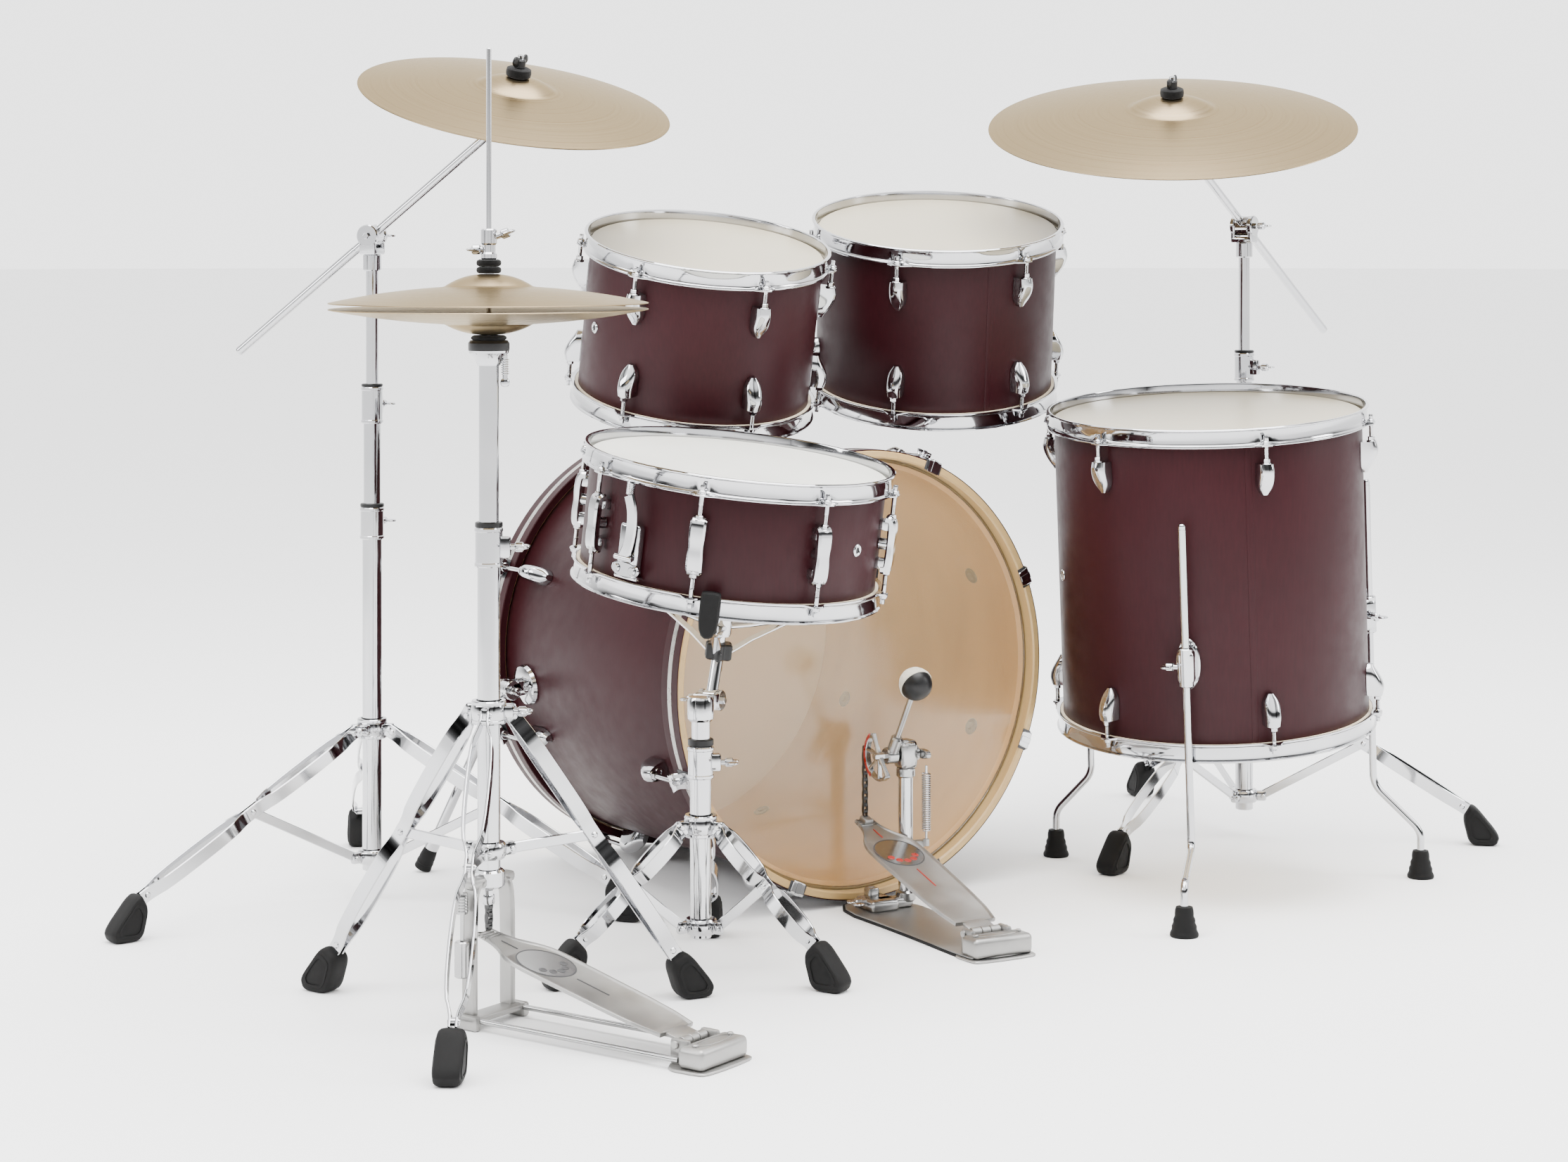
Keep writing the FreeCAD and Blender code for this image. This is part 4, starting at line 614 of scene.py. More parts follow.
def makeDrum(name, d):
    m, zero = drumPlace(d)
    radius, depth, rods, node, body = (d[k] for k in ("radius", "depth", "rods", "node", "body"))
    spun = turned(zero, d["first"])
    skinPart, lining = shellParts(radius, depth, 7.5, m)
    piece(name + "Shell", body, burgundy, [skinPart], [node + "_shell"])
    piece(name + "Lining", body, shellMaple, [lining])
    if d["seam"] is not None:
        spot = turned(zero, d["seam"])
        piece(name + "Seam", body, burgundy,
              [roundBlock((0.7, 9, depth - 14), shifted(spot, radius), 0.3)])
    hoop = flangedHoop(radius, depth, rods)
    piece(name + "Hoops", body, chrome, [placed(hoop, spun, flip(spun))], [node + "_hoops"])
    film = headSkin(radius, depth)
    top = lathe(film, m, 96)
    bottom = lathe(film, flip(m), 96)
    material = coatedHead if name == "snare" else creamHead
    piece(name + "TopHead", body, material, [top], [node + "_heads"])
    piece(name + "BottomHead", body, whiteHead, [bottom])
    metal = []
    places = around(spun, 0, rods)
    if name == "snare":
        top = depth / 2 - 40.0
        metal.append(placed(bridgeLug(radius, top), *places))
        metal.append(placed(tensionRod(radius, depth, top), *places, *[flip(p) for p in places]))
    else:
        top = depth / 2 - 34.0
        both = joined(bulletLug(radius, top), tensionRod(radius, depth, top))
        metal.append(placed(both, *places, *[flip(p) for p in places]))
    if d["vent"] is not None:
        # the black disc returned with the eyelet is painted shade that stands for the vent hole
        eyelet, dark = ventHole(radius, turned(zero, d["vent"]))
        metal.append(eyelet)
        piece(name + "VentHolePaintedShade", body, blackPlastic, [dark])
    return m, zero, metal


drumMetal = {name: makeDrum(name, d) for name, d in drums.items()}
print("drums made")


# bass drum

bass = dict(hoopInner=282.3, hoopOuter=293.5, face=bassDepth / 2 + 16.5, width=38.0, stand=22.0,
            inset=62.0, rods=8, spurTip=(383.0, -257.0), spurY=-150.0, spurAngle=-8.0)
bassPlace = axes(bassCentre, (0, 1, 0), (1, 0, 0))


def bassHoop():
    # the wooden ring, and the lacquer and inlay laid round its outside
    i, o, f, w = bass["hoopInner"], bass["hoopOuter"], bass["face"], bass["width"]
    core = [(i, f - w + 1), (i + 1, f - w), (o - 2.4, f - w), (o - 1.2, f - w + 1), (o - 1.2, f - 1.2),
            (o - 2.4, f), (i + 2, f), (i, f - 2)]

    def wrap(low, high, out=0.0):
        return [(o - 1.25, low), (o - 0.3 + out, low), (o + out, low + 0.4), (o + out, high - 0.4),
                (o - 0.3 + out, high), (o - 1.25, high)]

    rear = [(i + 1, f - w - 0.15), (o - 1, f - w - 0.15), (o, f - w + 0.9), (o, f - 23.9),
            (o - 0.3, f - 23.5), (o - 1.25, f - 23.5), (o - 2, f - w + 0.8), (i + 1, f - w + 0.3)]
    return core, [rear, wrap(f - 14.5, f - 0.8)], wrap(f - 23.3, f - 14.7, 0.1)


def claw():
    # a hook bent over the hoop, narrower at its lip, with a liner under it and a rod through its ear
    o, f = bass["hoopOuter"], bass["face"]
    points = [(o - 14, 0, f + 2.0), (o - 2, 0, f + 2.0), (o + 2.0, 0, f + 2.0), (o + 2.0, 0, f - 3),
              (o + 2.0, 0, f - 14), (o + 6.5, 0, f - 27), (o + 15, 0, f - 28.4)]
    path = softened(points, 2)
    share = np.linspace(0, 1, len(path))
    width = 1.0 - 0.30 * np.clip((0.25 - share) / 0.25, 0,
                                 1) ** 1.5 - 0.12 * np.sin(share * np.pi * 2) ** 2
    hook = sweep(path, stripSection(3.0, 25.0, 1.0), (0, 1, 0), width)
    rib = sweep(path + np.array((0.9, 0, 0.5)), stripSection(2.4, 9.0, 1.1), (0, 1, 0))
    x = bassRadius + bass["stand"]
    low = bassDepth / 2 - bass["inset"]
    place = shifted(np.eye(4), x)
    rod = joined(peg(3.0, low - 3, f - 20, place, 0.5, 14), hexNut(4.8, low - 1, low + 7, place),
                 pipe(6.6, 2.8, f - 31, f - 26.2, place, 0.8, 20),
                 roundBlock((6, 6, 9), shifted(place, 0, 0, f - 20), 1.0),
                 peg(5.4, f - 26.4, f - 24.2, place, 0.4, 20))
    lip = [(o - 13, 0, f + 0.45), (o - 1, 0, f + 0.45), (o + 0.45, 0, f + 0.3), (o + 0.45, 0, f - 4),
           (o + 0.45, 0, f - 26)]
    liner = sweep(softened(lip, 1), stripSection(0.7, 27.0, 0.3), (0, 1, 0))
    return joined(hook, rib, rod), liner


def spurBracket(side):
    m = spurPlace(side)
    dish = lathe([(0, -31), (27, -31), (28, -29), (26, -24), (20, -21.5), (13, -20), (0, -20)], m, 48)
    plates = [joined(peg(13.5, 0, 6.4, turned(shifted(m, 0, s * 8.3, 0), -90 * s, 0), 1.2, 32),
                     roundBlock((20, 6.4, 24), shifted(m, 0, s * 11.5, -11), 2.0)) for s in (-1, 1)]
    screws = [peg(3.4, -24.5, -21, shifted(m, 0, s * 20, 0), 0.8, 14) for s in (-1, 1)]
    bolt = joined(peg(4.2, -17, 17, turned(m, 90, 0), 0.8, 18),
                  wingBolt(point(m, 0, -15 if side < 0 else 15, 0), m[:3, 1] * (-1 if side < 0 else 1),
                           8, 26))
    return joined(dish, *plates, *screws, bolt)


def spurPlace(side):
    # hinge centre with z outwards from the shell and y along the hinge
    reach, turn = bassRadius + 30.0, math.radians(bass["spurAngle"])
    out = np.array((side * math.cos(turn), 0, math.sin(turn)))
    centre = np.array((kit[0], kit[1] + bass["spurY"], bassCentre[2])) + out * reach
    return axes(centre, out, np.cross((0, 1, 0), out))


def makeBass():
    skinPart, lining = shellParts(bassRadius, bassDepth, 7.5, bassPlace)
    piece("bassShell", "kit", burgundy, [skinPart], ["bass_shell"])
    piece("bassLining", "kit", bassMaple, [lining])
    ends = [bassPlace, flip(bassPlace)]
    core, wraps, inlay = bassHoop()
    piece("bassHoops", "kit", hoopMaple, [lathe(core, m, 160, True) for m in ends],
          ["bass_hoops"])
    piece("bassHoopLacquer", "kit", burgundy,
          [lathe(w, m, 160, True) for m in ends for w in wraps])
    piece("bassHoopInlay", "kit", silverInlay, [lathe(inlay, m, 160, True) for m in ends])
    film = headSkin(bassRadius, bassDepth)
    film = [(min(r, bassRadius + 2.6), z) for r, z in film]
    piece("bassBatterHead", "kit", clearHead, [lathe(film, bassPlace, 128)],
          ["bass_batter_head"])
    piece("bassFrontHead", "kit", whiteHead, [lathe(film, flip(bassPlace), 128)],
          ["bass_front_head"])
    ring = [(bassRadius - 1.5, bassDepth / 2 + 0.7), (bassRadius - 1.2, bassDepth / 2 + 1.4),
            (bassRadius + 2.4, bassDepth / 2 - 0.4), (bassRadius + 2.4, bassDepth / 2 - 3)]
    piece("bassHeadRims", "kit", brightCast, [lathe(ring, m, 128, True) for m in ends])
    places = [p for m in ends for p in around(m, 22.5, bass["rods"])]
    hook, liner = claw()
    piece("bassClaws", "kit", chrome, [placed(hook, *places)], ["bass_claws"])
    piece("bassClawLiners", "kit", greyEnamel, [placed(liner, *places)])
    lug = bulletLug(bassRadius, bassDepth / 2 - bass["inset"], 30.5, 11.5, 44.0)
    mouth = pipe(6.6, 3.4, bassDepth / 2 - bass["inset"] - 1.5, bassDepth / 2 - bass["inset"] + 1.6,
                 shifted(np.eye(4), bassRadius + bass["stand"]), 0.6, 20)
    piece("bassLugs", "kit", chrome, [placed(joined(lug, mouth), *places), spurBracket(1),
                                                spurBracket(-1)], ["bass_hardware"])
    washer = axes((bassRadius - 7.5, 0, bassDepth / 2 - bass["inset"] - 18), (-1, 0, 0))
    disc = lathe([(0, 0.1), (11.5, 0.1), (11.5, 1.2), (10.3, 2.2), (0, 2.2)], washer, 24)
    screw = lathe([(0, 2.2), (5, 2.2), (5, 3.4), (3.6, 4.6), (0, 4.6)], washer, 18)
    piece("bassInnerWashers", "kit", greyEnamel, [placed(disc, *places)])
    piece("bassInnerScrews", "kit", greyEnamel, [placed(screw, *places)])
    for name, side in (("Left", 1), ("Right", -1)):
        m = spurPlace(side)
        centre = m[:3, 3]
        tip = kit + np.array((side * bass["spurTip"][0], bass["spurTip"][1], 0))
        knee = centre + np.array((side * 16.0, 0, -14.0))
        way = unit(tip - knee)
        boss = peg(12.6, -7.7, 7.7, axes(centre, (0, 1, 0)), 1.0, 32)
        leg = cane([centre, knee, knee + way * 120, tip - way * 38], 6.5, 20)
        collar = bar(tip - way * 52, tip - way * 36, 10.0, 1.5)
        spike = bar(tip - way * 12 + up, tip + up * 1.2, 2.4, 0.4, top=0.9)
        body = "bass_spur_" + name.lower()
        piece("bassSpur" + name, body, chrome, [boss, leg, collar, spike], [body])
        profile = [(0, 0), (11.6, 0), (12, 1.5), (11.2, 8), (11.8, 9), (10.8, 16), (11.2, 17), (10, 26),
                   (8.6, 33), (0, 34)]
        piece("bassSpurTip" + name, body, rubber,
              [lathe(profile, axes(tip - way * 6, -way), 32)])


makeBass()
print("bass drum made")


# tom holder, posts, arms and brackets

holder = dict(postX=55.0, postY=-110.0, tube=innerTube, sleeve=17.1)


def forkCheeks(centre, axis, away, radius, gap, cheek=7.0):
    # two rounded cheeks either side of a hinge, and the bridge that joins them
    axis, away = unit(axis), unit(away)
    parts = []
    for side in (-1, 1):
        start = centre + axis * side * gap / 2
        parts.append(peg(radius, 0.1, cheek, axes(start, axis * side), 1.4, 36))
        middle = centre + axis * side * (gap + cheek) / 2
        parts.append(roundBlock((cheek - 0.4, radius * 1.5, radius + 8),
                                axes(middle + away * (radius + 8) / 2, away, axis), 1.8))
    parts.append(roundBlock((gap + cheek * 2 - 0.6, radius * 1.5, 9),
                            axes(centre + away * (radius + 5), away, axis), 2.0))
    bolt = [peg(4.6, gap / 2 + cheek - 1, gap / 2 + cheek + 4, axes(centre, axis * side), 0.8, 6)
            for side in (-1, 1)]
    return joined(*parts, *bolt)


def boss(centre, axis, radius, width):
    # the round eye between a fork's cheeks, with fine teeth round its faces
    turn = np.linspace(0, 2 * np.pi, 72, endpoint=False)
    tooth = radius - 0.5 * (np.arange(72) % 2)
    rows = [(0, -width / 2), (0.94, -width / 2), (1, -width / 2 + 0.8), (1, width / 2 - 0.8),
            (0.94, width / 2), (0, width / 2)]
    grid = np.stack([np.column_stack([share * tooth * np.cos(turn), share * tooth * np.sin(turn),
                                      np.full(72, z)]) for share, z in rows])
    return placed(skin(grid), axes(centre, axis))


def collarLock(base, z, height, radius, out):
    # a clamp collar with lips, a split lug and its wing bolt
    m = axes(base + up * z)
    h = height / 2
    profile = [(radius - 5, -h), (radius - 1, -h), (radius, -h + 1.4), (radius, -h + 4),
               (radius - 0.9, -h + 5), (radius - 0.9, h - 5), (radius, h - 4), (radius, h - 1.4),
               (radius - 1, h), (radius - 5, h)]
    parts = [lathe(profile, m, 44, True)]
    out = unit(out)
    parts.append(roundBlock((15, 13, height * 0.55), axes(base + up * z + out * (radius + 1), up, out),
                            3.0))
    parts.append(wingBolt(base + up * z + out * (radius + 6), out, 12, 30))
    return joined(*parts)


def makeTomMount():
    top = bassCentre[2] + bassRadius
    y = kit[1] + holder["postY"]
    turn = np.linspace(-17.3, 17.3, 19)
    # the saddle follows the shell: a plate at a share of its radius, lower at its ends
    u = np.radians(turn)
    rows = []
    for inset, rise in ((1.0, 0.4), (0.98, 3.0), (0.93, 5.4), (0.0, 6.2)):
        rows.append(np.column_stack([np.sin(u) * (bassRadius + rise), np.full(19, 32.0 * inset),
                                     np.cos(u) * (bassRadius + rise)]))
    rows = rows + [r * (1, -1, 1) for r in rows[-2::-1]]
    saddle = np.stack(rows) + (bassCentre[0], y, bassCentre[2])
    plate = skin(saddle, loopRows=True, loopColumns=False)
    parts = [plate, roundBlock((150, 46, 16), axes((bassCentre[0], y, top + 4)), 6)]
    for side in (-1, 1):
        foot = axes((kit[0] + side * holder["postX"], y, top + 4))
        s = holder["sleeve"]
        profile = [(11.3, 0), (s + 3, 0), (s + 1, 6), (s, 10), (s, 44), (s + 0.9, 45.5), (s + 0.9, 58),
                   (s - 0.4, 60), (11.3, 60)]
        parts.append(lathe(profile, foot, 44, True))
        parts.append(roundBlock((14, 15, 20), shifted(foot, side * (s + 2), 0, 46), 3))
        parts.append(wingBolt(point(foot, side * (s + 6), 0, 46), (side, 0, 0), 11, 30))
        parts += [peg(4, 5, 9.5, axes((kit[0] + x, y + dy, top)), 0.8, 6) for x in (side * 20, side * 68)
                  for dy in (-17, 17)]
    piece("tomHolder", "kit", chrome, parts, ["tom_holder"])
    for name, side in (("tomLeft", 1), ("tomRight", -1)):
        d = drums[name]
        m, _, metal = drumMetal[name]
        lean, middle = m[:3, 2], m[:3, 3]
        post = kit + np.array((side * holder["postX"], holder["postY"], 0))
        flat = middle - post
        flat[2] = -(flat[0] * lean[0] + flat[1] * lean[1]) / lean[2]
        way = unit(flat)
        pivot = middle - flat
        axis = unit(np.cross(up, way))
        wall = middle - way * (d["radius"] + 0.3)
        mouth = axes(wall, -way, lean)
        outline = oval(30, 19, 44)
        flange = slab(outline, 0.6, 5.0, mouth, 1.2)
        s = 15.6
        barrel = lathe([(11.3, 3), (s + 4, 3), (s + 1, 8), (s, 12), (s, 30), (s + 0.9, 31),
                        (s + 0.9, 35), (11.3, 35.4)], mouth, 40, True)
        screws = [peg(3.6, 4.5, 7.4, shifted(mouth, x, 0), 0.8, 16) for x in (-24, 24)]
        lock = joined(roundBlock((13, 14, 18), shifted(mouth, 0, -(s + 3), 23), 3),
                      wingBolt(point(mouth, 0, -(s + 7), 23), -mouth[:3, 1], 9, 26))
        piece(name + "Hardware", d["body"], chrome, metal + [flange, barrel, lock] + screws,
              [d["node"] + "_hardware"])
        arm = [boss(pivot, axis, 17, 25.4), bar(pivot, wall - way * 3, holder["tube"], 1.0, 32)]
        arm.append(pipe(14.4, 11.0, 0, 12, axes(wall - way * 58, way), 1.0, 32))
        piece(name + "Arm", d["node"] + "_arm", chrome, arm, [d["node"] + "_arm"])
        foot = post + up * (bassCentre[2] + bassRadius + 6)
        parts = [bar(foot, pivot - up * 24, holder["tube"], 1.0, 32),
                 forkCheeks(pivot, axis, -up, 18.0, 26.0)]
        parts.append(pipe(15.0, 11.0, 0, 14, axes(post + up * (bassCentre[2] + bassRadius + 66)), 1.0,
                          32))
        parts.append(wingBolt(pivot + axis * 19, axis, 9, 28))
        piece(name + "Post", d["node"] + "_post", chrome, parts, [d["node"] + "_post"])


makeTomMount()
print("tom mounts made")


# floor tom legs

floorLegs = dict(angles={"front": 38.6, "left": 278.6, "right": 158.6}, feet=(-442.0, 448.0),
                 circle=290.6, radius=5.0, offset=22.0, top=95.0, drop=108.0, shin=64.0, bracket=87.0)


def makeFloorLegs():
    d = drums["floorTom"]
    _, zero, metal = drumMetal["floorTom"]
    x = d["radius"] + floorLegs["offset"]
    brackets = []
    for name, angle in floorLegs["angles"].items():
        turn = turned(zero, angle)
        level = shifted(turn, 0, 0, -floorLegs["bracket"])
        back = axes(point(level, d["radius"] + 0.6), turn[:3, 0], turn[:3, 2])
        brackets.append(slab(oval(33, 15.5, 40), 0.4, 5.0, back, 1.4))
        brackets.append(roundBlock((44, 22, 29), shifted(back, 0, 0, 14.5), 6.5, 4))
        brackets.append(pipe(9.4, 5.2, -25, 25, shifted(level, x), 1.2, 28))
        brackets += [peg(3.4, 4.5, 7.0, shifted(back, side * 27), 0.8, 14) for side in (-1, 1)]
        brackets.append(wingBolt(point(level, x, -9, 0), -turn[:3, 1], 12, 28))
        top = point(turn, x, 0, floorLegs["top"])
        bend = point(turn, x, 0, -d["depth"] / 2 - 12 - floorLegs["drop"])
        foot = kit + np.array((*floorLegs["feet"], 0)) + polar(angle, floorLegs["circle"])
        body = "floor_tom_leg_" + name
        shin = foot + up * floorLegs["shin"]
        path = [top, bend + (top - bend) * 0.07, bend, bend + (shin - bend) * 0.35,
                bend + (shin - bend) * 0.65, shin, shin + (foot - shin) * 0.35, foot + up * 12]
        knurl = [(5.0, 0)] + [(5.0 + 0.28 * (k % 2), 2 + k * 1.6) for k in range(100)] + [(5.0, 163)]
        grip = lathe([(4.4, 0)] + knurl + [(4.4, 163)],
                     axes(point(turn, x, 0, -floorLegs["bracket"] + 15), turn[:3, 2]), 20, True)
        leg = cane(path, 5.0, 20, 3, np.cross(polar(angle), up))
        cap = bar(top, top + turn[:3, 2] * 2.5, 4.4, 1.5)
        piece("floorTomLeg" + name.capitalize(), body, chrome, [leg, grip, cap], [body])
        ribs = [(0, 0.0), (17, 0.0), (18, 1.5), (18, 4)]
        ribs += [(17.6 - k * 0.95 - 1.0 * (k % 2), 5 + k * 4.1) for k in range(7)]
        ribs += [(11.6, 33), (10.5, 37), (5.2, 38.0), (5.0, 36)]
        piece("floorTomFoot" + name.capitalize(), body, rubber,
              [lathe(ribs + [(0, 36)], axes(foot), 36)])
    piece("floorTomHardware", "kit", chrome, metal + brackets, ["floor_tom_hardware"])


makeFloorLegs()
print("floor tom legs made")


# tripods and columns

rubberFeet = []


def loopLeg(length):
    # two strips that bow apart between their pinched ends and middle, riveted through spacers
    bow, pinch = 14.0, 5.0
    thick, width = 2.5, 17.0
    shares = np.array((0.0, 0.04, 0.11, 0.39, 0.46, 0.5, 0.54, 0.61, 0.89, 0.96, 1.0))
    half = np.array((pinch, pinch, bow, bow, pinch, pinch, pinch, bow, bow, pinch, pinch)) - thick / 2
    parts = []
    for side in (-1, 1):
        path = np.column_stack([shares * length, side * half, np.zeros(len(shares))])
        parts.append(sweep(softened(path, 2), stripSection(thick, width, 0.6), (0, 0, 1)))
    for x in (8.0, length / 2, length - 8.0):
        across = turned(axes((x, 0, 0)), 90, 0)
        parts.append(peg(4.6, -pinch + 1, pinch - 1, across, 0.2, 14))
        parts.append(peg(3.8, -pinch - 1.6, pinch + 1.6, across, 1.1, 14))
    return joined(*parts)


def rubberFoot(axis, out, way, spread, ankleR, ankleZ):
    # a wedge whose side outline is softened, with a raised teardrop round a recess on each side
    width = 30.0
    square = unit((-way[2], way @ out, 0)) * 13.0
    o = [(ankleR + square[0], ankleZ + square[1]), (spread + 22, 14), (spread + 17, 0.0),
         (spread - 21, 0.0), (ankleR - square[0], ankleZ - square[1])]
    outline = np.array(o, float)
    dense = np.concatenate([outline[i] + (np.roll(outline, -1, 0)[i] - outline[i])
                            * np.array((0.16, 0.5, 0.84))[:, None] for i in range(5)])
    dense = softened(dense, 2, True)
    place = np.eye(4)
    place[:3, 0], place[:3, 1], place[:3, 2], place[:3, 3] = out, up, np.cross(out, up), axis
    middle = dense.mean(0)
    layers = ((-1.0, 0.80), (-0.93, 0.90), (-0.75, 0.97), (-0.4, 1.0), (0.4, 1.0), (0.75, 0.97),
              (0.93, 0.90), (1.0, 0.80))
    grid = np.stack([np.column_stack([middle + (dense - middle) * share,
                                      np.full(len(dense), width / 2 * z)]) for z, share in layers])
    body = placed(closed(grid), place)
    rim = middle + (dense - middle) * 0.72
    core = middle + (dense - middle) * 0.58
    rims = [band(rim, core, z - 0.6, z + 0.6, place, 0.4) for z in (width / 2 + 0.3, -width / 2 - 0.3)]
    return joined(body, *rims)


def tripod(at, topZ, lowZ, spread, angles):
    base = kit + np.array(at, float)
    collar = outerTube + 7.0
    ankleR, ankleZ = spread - 24.0, 50.0
    startR = collar + 4.0
    length = math.hypot(ankleR - startR, topZ - ankleZ)
    leg = loopLeg(length - 0.3)
    middleR, middleZ = (startR + ankleR) / 2, (topZ + ankleZ) / 2
    parts, feet = [], []
    for z, height in ((topZ, 22.0), (lowZ, 18.0)):
        h = height / 2
        profile = [(outerTube + 0.2, -h), (collar - 2.5, -h), (collar - 1, -h + 2), (collar, -h + 4),
                   (collar, h - 4), (collar - 1, h - 2), (collar - 2.5, h), (outerTube + 0.2, h)]
        parts.append(lathe(profile, axes(base + up * z), 44, True))
    for angle in angles:
        out = polar(angle)
        side = np.cross(up, out)
        start = base + out * startR + up * topZ
        way = unit(out * (ankleR - startR) - up * (topZ - ankleZ))
        place = np.eye(4)
        place[:3, 0], place[:3, 1], place[:3, 2], place[:3, 3] = way, side, np.cross(way, side), start
        parts.append(placed(leg, place))
        low = base + out * startR + up * lowZ
        high = base + out * middleR + up * middleZ
        rise = unit(high - low)
        parts.append(sweep([low, low + (high - low) * 0.5, high], stripSection(4.0, 12.0, 1.0),
                           np.cross(side, rise)))
        for z in (topZ, lowZ):
            ear = axes(base + out * (collar + 4) + up * z, up, out)
            parts.append(roundBlock((16, 9.4, 15), ear, 3.2))
            parts.append(peg(3.2, -7.6, 7.6, turned(shifted(ear, 3, 0, 0), 90, 0), 0.9, 14))
        parts.append(peg(3.0, -7.4, 7.4, turned(axes(high, up, out), 90, 0), 0.9, 14))
        feet.append(rubberFoot(base, out, way, spread, ankleR, ankleZ))
    rubberFeet.extend(feet)
    return parts


def tubeUp(base, low, high, radius):
    return peg(radius, low, high, axes(base), 1.0, 40)


snareStand = dict(at=(377.0, 434.0, 0.0), topZ=173.0, lowZ=54.0, spread=182.0,
                  angles=(353.2, 113.2, 233.2), pivotZ=318.0, offset=30.0, firstArm=50.6)


